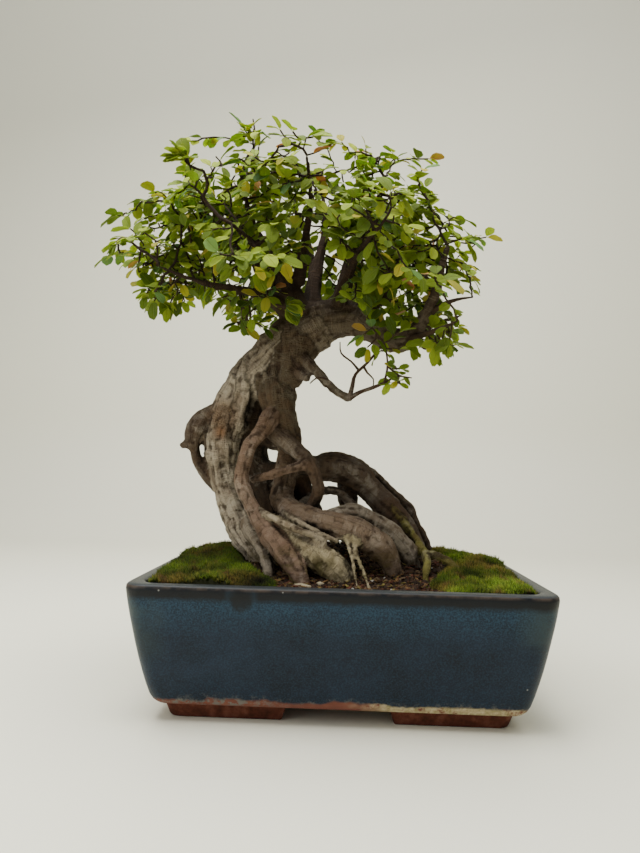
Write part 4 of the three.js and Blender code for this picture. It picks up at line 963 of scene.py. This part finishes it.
def leafyPoints(chance, limbPaths):
    heart = Vector(crown["heart"])
    points = []
    for name in sprayNodes:
        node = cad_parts[name]
        spots = [(node.matrix_world @ vert.co - middle) / mm for vert in node.data.vertices]
        chance.shuffle(spots)
        spaced = []
        for spot in spots:
            if all((spot - other).length > crown["spacing"] for other in spaced):
                spaced.append(spot)
        points += spaced
    inside = []
    for point in points:
        if chance.random() < crown["insideShare"]:
            nearer = heart.lerp(point, chance.uniform(*crown["insideReach"]))
            inside.append(nearer + anyDirection(chance) * crown["insideLoose"])
    limbs = [(spot, radius + crown["limbClearance"]) for path in limbPaths for spot, radius in path]
    free = [point for point in inside if all((point - spot).length > reach for spot, reach in limbs)]
    shown = [drawnIn(point, heart) for point in points + free]
    return [point for point in shown if point] + [Vector(stray) for stray in crown["strays"]]


def growTwigs(points, sites, chance):  # rows of [place, index of the row it grew from]
    grown = [[site, None] for site in sites]
    for _ in range(crown["rounds"]):
        tree = KDTree(len(grown))
        for i, (spot, _) in enumerate(grown):
            tree.insert(spot, i)
        tree.balance()
        pulls = {}
        waiting = []
        for point in points:
            spot, index, distance = tree.find(point)
            if distance > crown["near"]:
                waiting.append(point)
                pulls.setdefault(index, []).append((point - spot).normalized())
        points = waiting
        for index, pull in pulls.items():
            ahead = (sum(pull, Vector()).normalized() + anyDirection(chance) * crown["bend"]).normalized()
            grown.append([grown[index][0] + ahead * crown["step"], index])
    return grown


def growFoliage():
    chance = random.Random(crown["seed"])
    limbPaths = [sampled(rows, crown["siteStep"]) for name, (_, rows) in {**woodPaths, **thinPaths}.items()
                 if "Limb" in name or "Twig" in name]
    sites = [spot for path in limbPaths for spot, _ in path[int(len(path) * crown["bareLimb"]):]]
    grown = growTwigs(leafyPoints(chance, limbPaths), sites, chance)
    tips = [0] * len(grown)
    heirs = [None] * len(grown)
    for i in range(len(grown) - 1, len(sites) - 1, -1):
        tips[i] = max(tips[i], 1)
        parent = grown[i][1]
        tips[parent] += tips[i]
        if heirs[parent] is None or tips[i] > tips[heirs[parent]]:
            heirs[parent] = i
    leaves = []
    for i in range(len(sites), len(grown)):
        if tips[i] <= leaf["leafyTips"]:
            addLeaves(grown, i, heirs[i] is None, chance, leaves)
    paths = []
    for i in range(len(sites), len(grown)):
        parent = grown[i][1]
        if parent >= len(sites) and heirs[parent] == i:
            continue
        chain = [parent, i]
        while heirs[chain[-1]] is not None:
            chain.append(heirs[chain[-1]])
        radii = [crown["tipRadius"] + crown["radiusGrowth"] * math.sqrt(tips[k]) for k in chain[1:]]
        radii = [min(radius, crown["thickest"]) for radius in radii[:1] + radii]
        paths.append([(grown[k][0], radius) for k, radius in zip(chain, radii)])
    print("twigs", len(paths), "leaves", len(leaves))
    return paths, leaves


def addLeaves(grown, i, atEnd, chance, leaves):
    spot, parent = grown[i]
    deepInside = (spot - Vector(crown["heart"])).length < leaf["bareReach"]
    if chance.random() < (leaf["bareShare"] if deepInside else 1 - leaf["share"]):
        return
    lowHeight, lowSize = leaf["lowSprays"]
    scale = lowSize if spot.z < lowHeight else 1.0
    ahead = (spot - grown[parent][0]).normalized()
    outward = (spot - Vector(crown["heart"])).normalized()
    facing = outward * leaf["outward"] + Vector(leaf["facing"]) + anyDirection(chance) * leaf["flutter"]
    facing.normalize()
    sideways = facing.cross(ahead).normalized() * (1 if i % 2 else -1)
    for turn in (leaf["endTurns"] if atEnd else (chance.uniform(*leaf["sideTurns"]),)):
        direction = ahead * math.cos(turn) + sideways * math.sin(turn)
        direction += Vector((0, 0, chance.uniform(*leaf["droop"])))
        leaves.append((spot, direction.normalized(), facing, scale * chance.triangular(*leaf["sizes"])))


def leafColour(spot, chance):
    tones = leafTones
    # painted light and shade: lighter high up and far out, darker low and near the heart; the spread adds
    # random tone
    height = (spot.z - tones["low"]) / tones["tall"]
    outness = min(1.0, (spot - Vector(crown["heart"])).length / tones["reach"])
    paintedLightAndTone = tones["base"] + tones["litByHeight"] * height + tones["litByReach"] * outness
    paintedLightAndTone += chance.uniform(-tones["spread"], tones["spread"])
    tints = {name: Vector(tint) for name, tint in leafTints.items()}
    if paintedLightAndTone < tones["green"]:
        colour = tints["dark"].lerp(tints["green"], max(0, paintedLightAndTone / tones["green"]))
    else:
        past = (paintedLightAndTone - tones["green"]) * tones["brightRise"]
        colour = tints["green"].lerp(tints["bright"], min(1, past))
    roll = chance.random()
    if roll < tones["orangeShare"] * max(0, height):
        colour = colour.lerp(tints["orange"], chance.uniform(*tones["orangeDepth"]))
    elif roll < tones["yellowShare"]:
        colour = colour.lerp(tints["yellow"], chance.uniform(*tones["yellowDepth"]))
    elif roll < tones["blueGreenShare"]:
        colour = colour.lerp(tints["blueGreen"], tones["blueGreenDepth"])
    return colour * chance.uniform(*tones["evenness"])


def buildLeaves(leaves):
    chance = random.Random(leaf["seed"])
    templates = [leafTemplate(*form) for form in leaf["forms"]]
    groups = [bmesh.new(), bmesh.new()]
    for spot, direction, normal, size in leaves:
        template = chance.choice(templates).copy()
        side = normal.cross(direction).normalized()
        upward = direction.cross(side)
        turn = Matrix((direction, side, upward)).transposed().to_4x4()
        start = Matrix.Translation(spot + direction * leaf["stalkReach"])
        template.transform(start @ turn @ Matrix.Scale(size, 4))
        tint = leafColour(spot, chance)
        template.attributes["leafTint"].data.foreach_set("color", [*tint, 1] * len(template.vertices))
        groups[0 if spot.z < leaf["split"] else 1].from_mesh(template)
        bpy.data.meshes.remove(template)
    meshes = []
    for bm, name in zip(groups, ("lowerLeaves", "upperLeaves")):
        mesh = meshFrom(bm, name)
        mesh.transform(toWorld)
        meshes.append(mesh)
    return meshes


def leafMaterial():
    material, tree, shader = newMaterial("zelkovaLeaf")
    tint = addNode(tree, "ShaderNodeAttribute", attribute_name="leafTint").outputs["Color"]
    uv = addNode(tree, "ShaderNodeUVMap", uv_map="leafUV").outputs["UV"]
    parts = addNode(tree, "ShaderNodeSeparateXYZ", {"Vector": uv}).outputs
    fromRib = maths(tree, "ABSOLUTE", maths(tree, "SUBTRACT", parts["Y"], 0.5))
    slanted = maths(tree, "SUBTRACT", times(tree, parts["X"], leafFinish["veins"]),
                    times(tree, fromRib, leafFinish["veinSlant"]))
    fromVein = maths(tree, "ABSOLUTE", maths(tree, "SUBTRACT", maths(tree, "FRACT", slanted), 0.5))
    veins = mask(tree, fromVein, *leafFinish["veinEdges"])
    rib = mask(tree, fromRib, *leafFinish["ribEdges"])
    paler = mixed(tree, 0.30, tint, leafFinish["ribCast"])
    darker = mixed(tree, 0.4, tint, leafFinish["patchCast"])
    patched = patches(tree, potSpace(tree), *leafFinish["patches"])
    colour = laid(tree, tint, darker, patched, leafFinish["patchShare"])
    colour = laid(tree, colour, paler, veins, leafFinish["veinShare"])
    colour = laid(tree, colour, paler, rib, leafFinish["ribShare"])
    tree.links.new(colour, shader.inputs["Base Color"])
    shader.inputs["Roughness"].default_value = leafFinish["roughness"]
    shader.inputs["Specular IOR Level"].default_value = leafFinish["specular"]
    shader.inputs["Subsurface Weight"].default_value = leafFinish["subsurface"]
    shader.inputs["Subsurface Radius"].default_value = leafFinish["scatter"]
    shader.inputs["Subsurface Scale"].default_value = mm
    relief = plus(tree, times(tree, veins, -0.5), times(tree, rib, -1.0))
    tree.links.new(bumped(tree, relief, leafFinish["relief"]), shader.inputs["Normal"])
    return material


twigPaths, leaves = growFoliage()
lowerMesh, upperMesh = buildLeaves(leaves)
leafOfTree = leafMaterial()
newPiece("lowerLeaves", lowerMesh, leafOfTree, sprayNodes)
newPiece("upperLeaves", upperMesh, leafOfTree, sprayNodes)


def buildTwigs():
    paths = twigPaths + [sampled(rows, 3) for _, rows in thinPaths.values()]
    mesh = tubes(paths, "twigs", 0, bark["twigKnots"])
    dressBark(mesh, paths, [barkTints["twig"]] * len(paths), False)
    mesh.transform(toWorld)
    mesh.shade_smooth()
    return mesh


newPiece("twigs", buildTwigs(), barkOfTree, ["tree_wood"])
print("foliage done")

# Ground.
ground = {
    "edge": 79, "mound": 20, "spread": (85, 50), "crest": (0, 15), "roughness": 1.2, "bottom": 60, "seed": 3,
    "bedHalf": (120, 80), "scatterHalf": (119, 79), "frontFrom": -30,
    "granules": 4200, "granuleSizes": (0.7, 2.3), "granuleLift": (-0.4, 0.9),
    "litter": 1500, "litterSizes": (1.6, 5.0), "litterWidths": (0.12, 0.5), "litterThickness": 0.35,
    "litterLift": (0.6, 2.2), "bedTints": [(0.3, (0.020, 0.013, 0.008)), (0.7, (0.055, 0.031, 0.018))],
    # limits on a draw from 0 to 1, each with the colour below it
    "grainTints": [(0.6, (0.026, 0.016, 0.010)), (0.87, (0.062, 0.034, 0.019)),
                   (0.991, (0.125, 0.085, 0.045)), (1.0, (0.50, 0.48, 0.42))],
    "litterTints": [(0.45, (0.095, 0.034, 0.018)), (0.72, (0.140, 0.078, 0.030)),
                    (0.86, (0.180, 0.140, 0.040)), (1.0, (0.040, 0.022, 0.014))],
    "stones": [((-24, -66), (6.4, 2.5, 2.2)), ((-13, -62), (2.6, 1.9, 1.6))],  # x and y, then three radii
    "stoneTint": (0.36, 0.31, 0.20), "stoneLift": 1.4, "stoneTilt": 0.12,
}


def soilHeight(x, y):
    rise = math.exp(-((x - ground["crest"][0]) / ground["spread"][0]) ** 2
                    - ((y - ground["crest"][1]) / ground["spread"][1]) ** 2)
    uneven = ground["roughness"] * noise.noise(Vector((x, y, 0)) * 0.12)
    return ground["edge"] + ground["mound"] * rise + uneven


mossPads = {
    "leftMoss": {
        "thickness": 9.5, "middle": (-84, 6), "span": (50, 90), "fronds": 29000, "tone": 0.82, "outline": [
            (-128, -88), (-52, -88), (-40, -78), (-40, -62), (-54, -46), (-66, -22), (-74, 0), (-76, 16),
            (-74, 44), (-50, 66), (-34, 92), (-128, 92)]},
    "rightMoss": {
        "thickness": 8.5, "middle": (90, 20), "span": (60, 80), "fronds": 26000, "tone": 1.45, "outline": [
            (66, -74), (90, -84), (128, -88), (128, 92), (34, 92), (42, 58), (58, 36), (70, 10), (76, -8),
            (66, -34), (56, -58)]},
}
moss = {
    "hummocks": [(4.2, 0.055, 4), (1.8, 0.17, 9)],  # height, noise scale and seed
    "edgeFall": 7, "wallHalf": (119.6, 79.6), "wallFall": 5, "wallShare": 0.35, "sunk": 1.5, "bare": 6,
    "baseSunk": 0.6, "baseDepth": 1.0, "frondSunk": 0.9, "frondRadius": 0.42, "frondLean": 0.8,
    "frondHeights": (1.8, 4.2), "tuftHeight": 3.0, "tuftScale": 0.2,
    "oliveShare": 0.35, "oliveWide": 1.6, "oliveFine": 0.7, "brownFrom": 0.28, "brownRise": 3,
    "deepShare": 0.3, "deepMix": 0.8, "evenness": (0.6, 1.4), "swayTone": 1.2,
    "wide": (2, 0.035), "fine": (5, 0.16), "sway": (8, 0.06),  # seeds and noise scales of the colours
}
mossTints = {"green": (0.078, 0.118, 0.009), "olive": (0.115, 0.088, 0.016), "deep": (0.016, 0.034, 0.004),
             "brown": (0.085, 0.040, 0.016), "under": (0.016, 0.017, 0.005)}


def insidePot(x, y, margin):
    corner = pot["innerCorner"]
    inset = pot["wallInside"] + margin + corner
    pastX, pastY = abs(x) - (pot["width"] / 2 - inset), abs(y) - (pot["depth"] / 2 - inset)
    return math.hypot(max(pastX, 0), max(pastY, 0)) < corner or max(pastX, pastY) < 0


def nearest(p, a, b):
    t = max(0.0, min(1.0, (p - a).dot(b - a) / (b - a).length_squared))
    return a + (b - a) * t


def edgeDistance(x, y, outline):
    spot = Vector((x, y))
    return min((spot - nearest(spot, Vector(a), Vector(b))).length
               for a, b in zip(outline, outline[1:] + outline[:1]))


def mossHeight(x, y, pad):
    away = math.hypot((x - pad["middle"][0]) / pad["span"][0], (y - pad["middle"][1]) / pad["span"][1])
    body = pad["thickness"] * (0.8 + 0.2 * max(0, 1 - away * away))
    body += sum(rise * noise.noise(Vector((x, y, seed)) * scale) for rise, scale, seed in moss["hummocks"])
    edge = edgeDistance(x, y, pad["outline"]) / moss["edgeFall"] if inOutline(x, y, pad["outline"]) else 0
    toWall = min(moss["wallHalf"][0] - abs(x), moss["wallHalf"][1] - abs(y))
    wall = min(1.0, max(0.0, toWall / moss["wallFall"]))
    share = moss["wallShare"] + (1 - moss["wallShare"]) * wall
    return (body - moss["sunk"]) * math.sqrt(min(1.0, edge) * share)


def surfaceBlock(name, stepX, stepY, margin, topAt, bottomAt, keep):
    bm = bmesh.new()  # a block with an uneven top, still in millimetres
    bmesh.ops.create_grid(bm, x_segments=stepX, y_segments=stepY, size=1)
    for vert in bm.verts:
        x, y = vert.co.x * ground["bedHalf"][0], vert.co.y * ground["bedHalf"][1]
        vert.co = Vector((x, y, topAt(x, y)))
    outside = [v for v in bm.verts if not (insidePot(v.co.x, v.co.y, margin) and keep(v.co.x, v.co.y))]
    bmesh.ops.delete(bm, geom=outside, context="VERTS")
    walled = bmesh.ops.extrude_face_region(bm, geom=bm.faces[:])["geom"]
    for vert in [g for g in walled if isinstance(g, bmesh.types.BMVert)]:
        vert.co.z = bottomAt(vert.co.x, vert.co.y)
    bmesh.ops.recalc_face_normals(bm, faces=bm.faces[:])
    return meshFrom(bm, name, sharpAngle=60)


def buildSoil():
    mesh = surfaceBlock("soilBed", 96, 64, 1.0, soilHeight, lambda x, y: ground["bottom"], lambda x, y: True)
    mesh.transform(toWorld)
    return mesh


def bitTemplates(chance, attribute, flat):
    made = []
    for _ in range(4):
        bm = bmesh.new()
        if flat:
            bmesh.ops.create_cube(bm, size=1)
        else:
            bmesh.ops.create_icosphere(bm, subdivisions=1, radius=1)
        for vert in bm.verts:
            vert.co *= chance.uniform(0.72, 1.15)
        mesh = meshFrom(bm, "bit", smooth=False)
        mesh.attributes.new(attribute, "FLOAT_COLOR", "POINT")
        made.append(mesh)
    return made


fullTurn = 6.28


def scatter(bm, template, spot, turn, scale, tint, attribute):
    copy = template.copy()
    copy.transform(Matrix.Translation(spot) @ turn @ Matrix.Diagonal((*scale, 1)))
    copy.attributes[attribute].data.foreach_set("color", [*tint, 1] * len(copy.vertices))
    bm.from_mesh(copy)
    bpy.data.meshes.remove(copy)


def anyTurn(chance):
    return Matrix.Rotation(chance.uniform(0, fullTurn), 4, anyDirection(chance).normalized())


def anyLean(chance, low, high, axis):
    turn = Matrix.Rotation(chance.uniform(0, fullTurn), 4, "Z")
    return turn @ Matrix.Rotation(chance.uniform(low, high), 4, axis)


def underMoss(x, y):
    outlines = [pad["outline"] for pad in mossPads.values()]
    return any(inOutline(x, y, line) and edgeDistance(x, y, line) > moss["bare"] for line in outlines)


def drawn(chance, tints):
    roll = chance.random()
    return next(tint for limit, tint in tints if roll <= limit)


def buildGranules():
    chance = random.Random(ground["seed"])
    pebbles = bitTemplates(chance, "grainTint", False)
    flakes = bitTemplates(chance, "grainTint", True)
    halfX, halfY = ground["scatterHalf"]
    bm = bmesh.new()
    placed = 0
    while placed < ground["granules"] + ground["litter"]:
        x, y = chance.uniform(-halfX, halfX), chance.uniform(-halfY, halfY)
        if placed % 3 == 0:  # more of them in front
            y = chance.uniform(-halfY, ground["frontFrom"])
        if not insidePot(x, y, 1.5) or underMoss(x, y):
            continue
        if placed < ground["granules"]:
            size = chance.uniform(*ground["granuleSizes"])
            spot = Vector((x, y, soilHeight(x, y) + chance.uniform(*ground["granuleLift"])))
            scatter(bm, chance.choice(pebbles), spot, anyTurn(chance), (size, size * 0.8, size * 0.7),
                    drawn(chance, ground["grainTints"]), "grainTint")
        else:
            size = chance.uniform(*ground["litterSizes"])
            lean = anyLean(chance, -0.5, 0.5, "Y")
            spot = Vector((x, y, soilHeight(x, y) + chance.uniform(*ground["litterLift"])))
            flake = chance.choice(flakes)
            shape = (size, size * chance.uniform(*ground["litterWidths"]), ground["litterThickness"])
            scatter(bm, flake, spot, lean, shape, drawn(chance, ground["litterTints"]), "grainTint")
        placed += 1
    for (x, y), radii in ground["stones"]:
        spot = Vector((x, y, soilHeight(x, y) + ground["stoneLift"]))
        tilt = Matrix.Rotation(ground["stoneTilt"], 4, "Y")
        scatter(bm, pebbles[0], spot, tilt, radii, ground["stoneTint"], "grainTint")
    mesh = meshFrom(bm, "granules", smooth=False)
    mesh.transform(toWorld)
    return mesh


def frondTemplate():
    bm = bmesh.new()
    bmesh.ops.create_cone(bm, cap_ends=True, segments=3, radius1=moss["frondRadius"], radius2=0.0, depth=1.0,
                          matrix=Matrix.Translation((0, 0, 0.5)))
    mesh = meshFrom(bm, "frond")
    mesh.attributes.new("mossTint", "FLOAT_COLOR", "POINT")
    return mesh


def mossColour(x, y, tone, chance):
    wide, fine, sway = (noise.noise(Vector((x, y, seed)) * scale)
                        for seed, scale in (moss["wide"], moss["fine"], moss["sway"]))
    tints = {name: Vector(tint) for name, tint in mossTints.items()}
    olive = moss["oliveShare"] + wide * moss["oliveWide"] + fine * moss["oliveFine"]
    colour = tints["green"].lerp(tints["olive"], min(1, max(0, olive)))
    if fine > moss["brownFrom"]:
        colour = colour.lerp(tints["brown"], min(1, (fine - moss["brownFrom"]) * moss["brownRise"]))
    if chance.random() < moss["deepShare"]:
        colour = colour.lerp(tints["deep"], moss["deepMix"])
    return colour * tone * chance.uniform(*moss["evenness"]) * (1 + moss["swayTone"] * sway)


def buildMoss(name, pad):
    chance = random.Random(len(name))
    frond = frondTemplate()
    outline = pad["outline"]

    def surfaceAt(x, y, sunk):
        return soilHeight(x, y) + mossHeight(x, y, pad) - sunk

    base = surfaceBlock(
        name + "Base", 120, 80, 0.8, lambda x, y: surfaceAt(x, y, moss["baseSunk"]),
        lambda x, y: soilHeight(x, y) - moss["baseDepth"], lambda x, y: inOutline(x, y, outline))
    under = [*mossTints["under"], 1] * len(base.vertices)
    base.attributes.new("mossTint", "FLOAT_COLOR", "POINT").data.foreach_set("color", under)
    bm = bmesh.new()
    bm.from_mesh(base)
    halfX, halfY = ground["scatterHalf"]
    left = max(min(x for x, _ in outline), -halfX)
    right = min(max(x for x, _ in outline), halfX)
    count = 0
    while count < pad["fronds"]:
        x, y = chance.uniform(left, right), chance.uniform(-halfY, halfY)
        if not insidePot(x, y, 1.0) or not inOutline(x, y, outline):
            continue
        lean = anyLean(chance, 0, moss["frondLean"], "X")
        tuft = max(0, noise.noise(Vector((x, y, 1)) * moss["tuftScale"]))
        tall = chance.uniform(*moss["frondHeights"]) + moss["tuftHeight"] * tuft
        spot = Vector((x, y, surfaceAt(x, y, moss["frondSunk"])))
        scatter(bm, frond, spot, lean, (1, 1, tall), mossColour(x, y, pad["tone"], chance), "mossTint")
        count += 1
    mesh = meshFrom(bm, name)
    mesh.transform(toWorld)
    return mesh


earth = {"specular": 0.15, "relief": 0.0004, "darkShare": 0.35}


def earthMaterial(name, roughness, attribute=None):  # without an attribute, the soil's own colours
    material, tree, shader = newMaterial(name)
    blotches, specks = mottled(tree, potSpace(tree), 6.0, 0.6)
    if attribute:
        tint = addNode(tree, "ShaderNodeAttribute", attribute_name=attribute).outputs["Color"]
    else:
        tint = ramp(tree, blotches, ground["bedTints"])
    darker = mixed(tree, 0.5, tint, (0, 0, 0))
    colour = laid(tree, tint, darker, mask(tree, specks, 0.4, 0.62), earth["darkShare"])
    tree.links.new(colour, shader.inputs["Base Color"])
    shader.inputs["Roughness"].default_value = roughness
    shader.inputs["Specular IOR Level"].default_value = earth["specular"]
    tree.links.new(bumped(tree, specks, earth["relief"]), shader.inputs["Normal"])
    return material


newPiece("soilBed", buildSoil(), earthMaterial("dampSoil", 0.8), ["soil"])
newPiece("granules", buildGranules(), earthMaterial("soilGrain", 0.75, "grainTint"), ["soil"])
print("soil done")
mossGreen = earthMaterial("shortMoss", 0.9, "mossTint")
for name, node in (("leftMoss", "moss_left"), ("rightMoss", "moss_right")):
    newPiece(name, buildMoss(name, mossPads[name]), mossGreen, [node])
print("moss done")


drainNet = {
    "tints": [(0.3, (0.012, 0.012, 0.012)), (0.7, (0.022, 0.021, 0.020))],
    "blotchSize": 5.0, "speckSize": 0.5, "roughness": 0.55, "relief": 0.0001,
}


def netMaterial():
    material, tree, shader = newMaterial("blackNet")
    blotches, specks = mottled(tree, potSpace(tree), drainNet["blotchSize"], drainNet["speckSize"])
    tree.links.new(ramp(tree, blotches, drainNet["tints"]), shader.inputs["Base Color"])
    shader.inputs["Roughness"].default_value = drainNet["roughness"]
    tree.links.new(bumped(tree, specks, drainNet["relief"]), shader.inputs["Normal"])
    return material


net = netMaterial()
for nodeName in ("drain_screen_left", "drain_screen_right"):
    screen = bpy.data.objects[nodeName]
    screen.data.materials.clear()
    screen.data.materials.append(net)
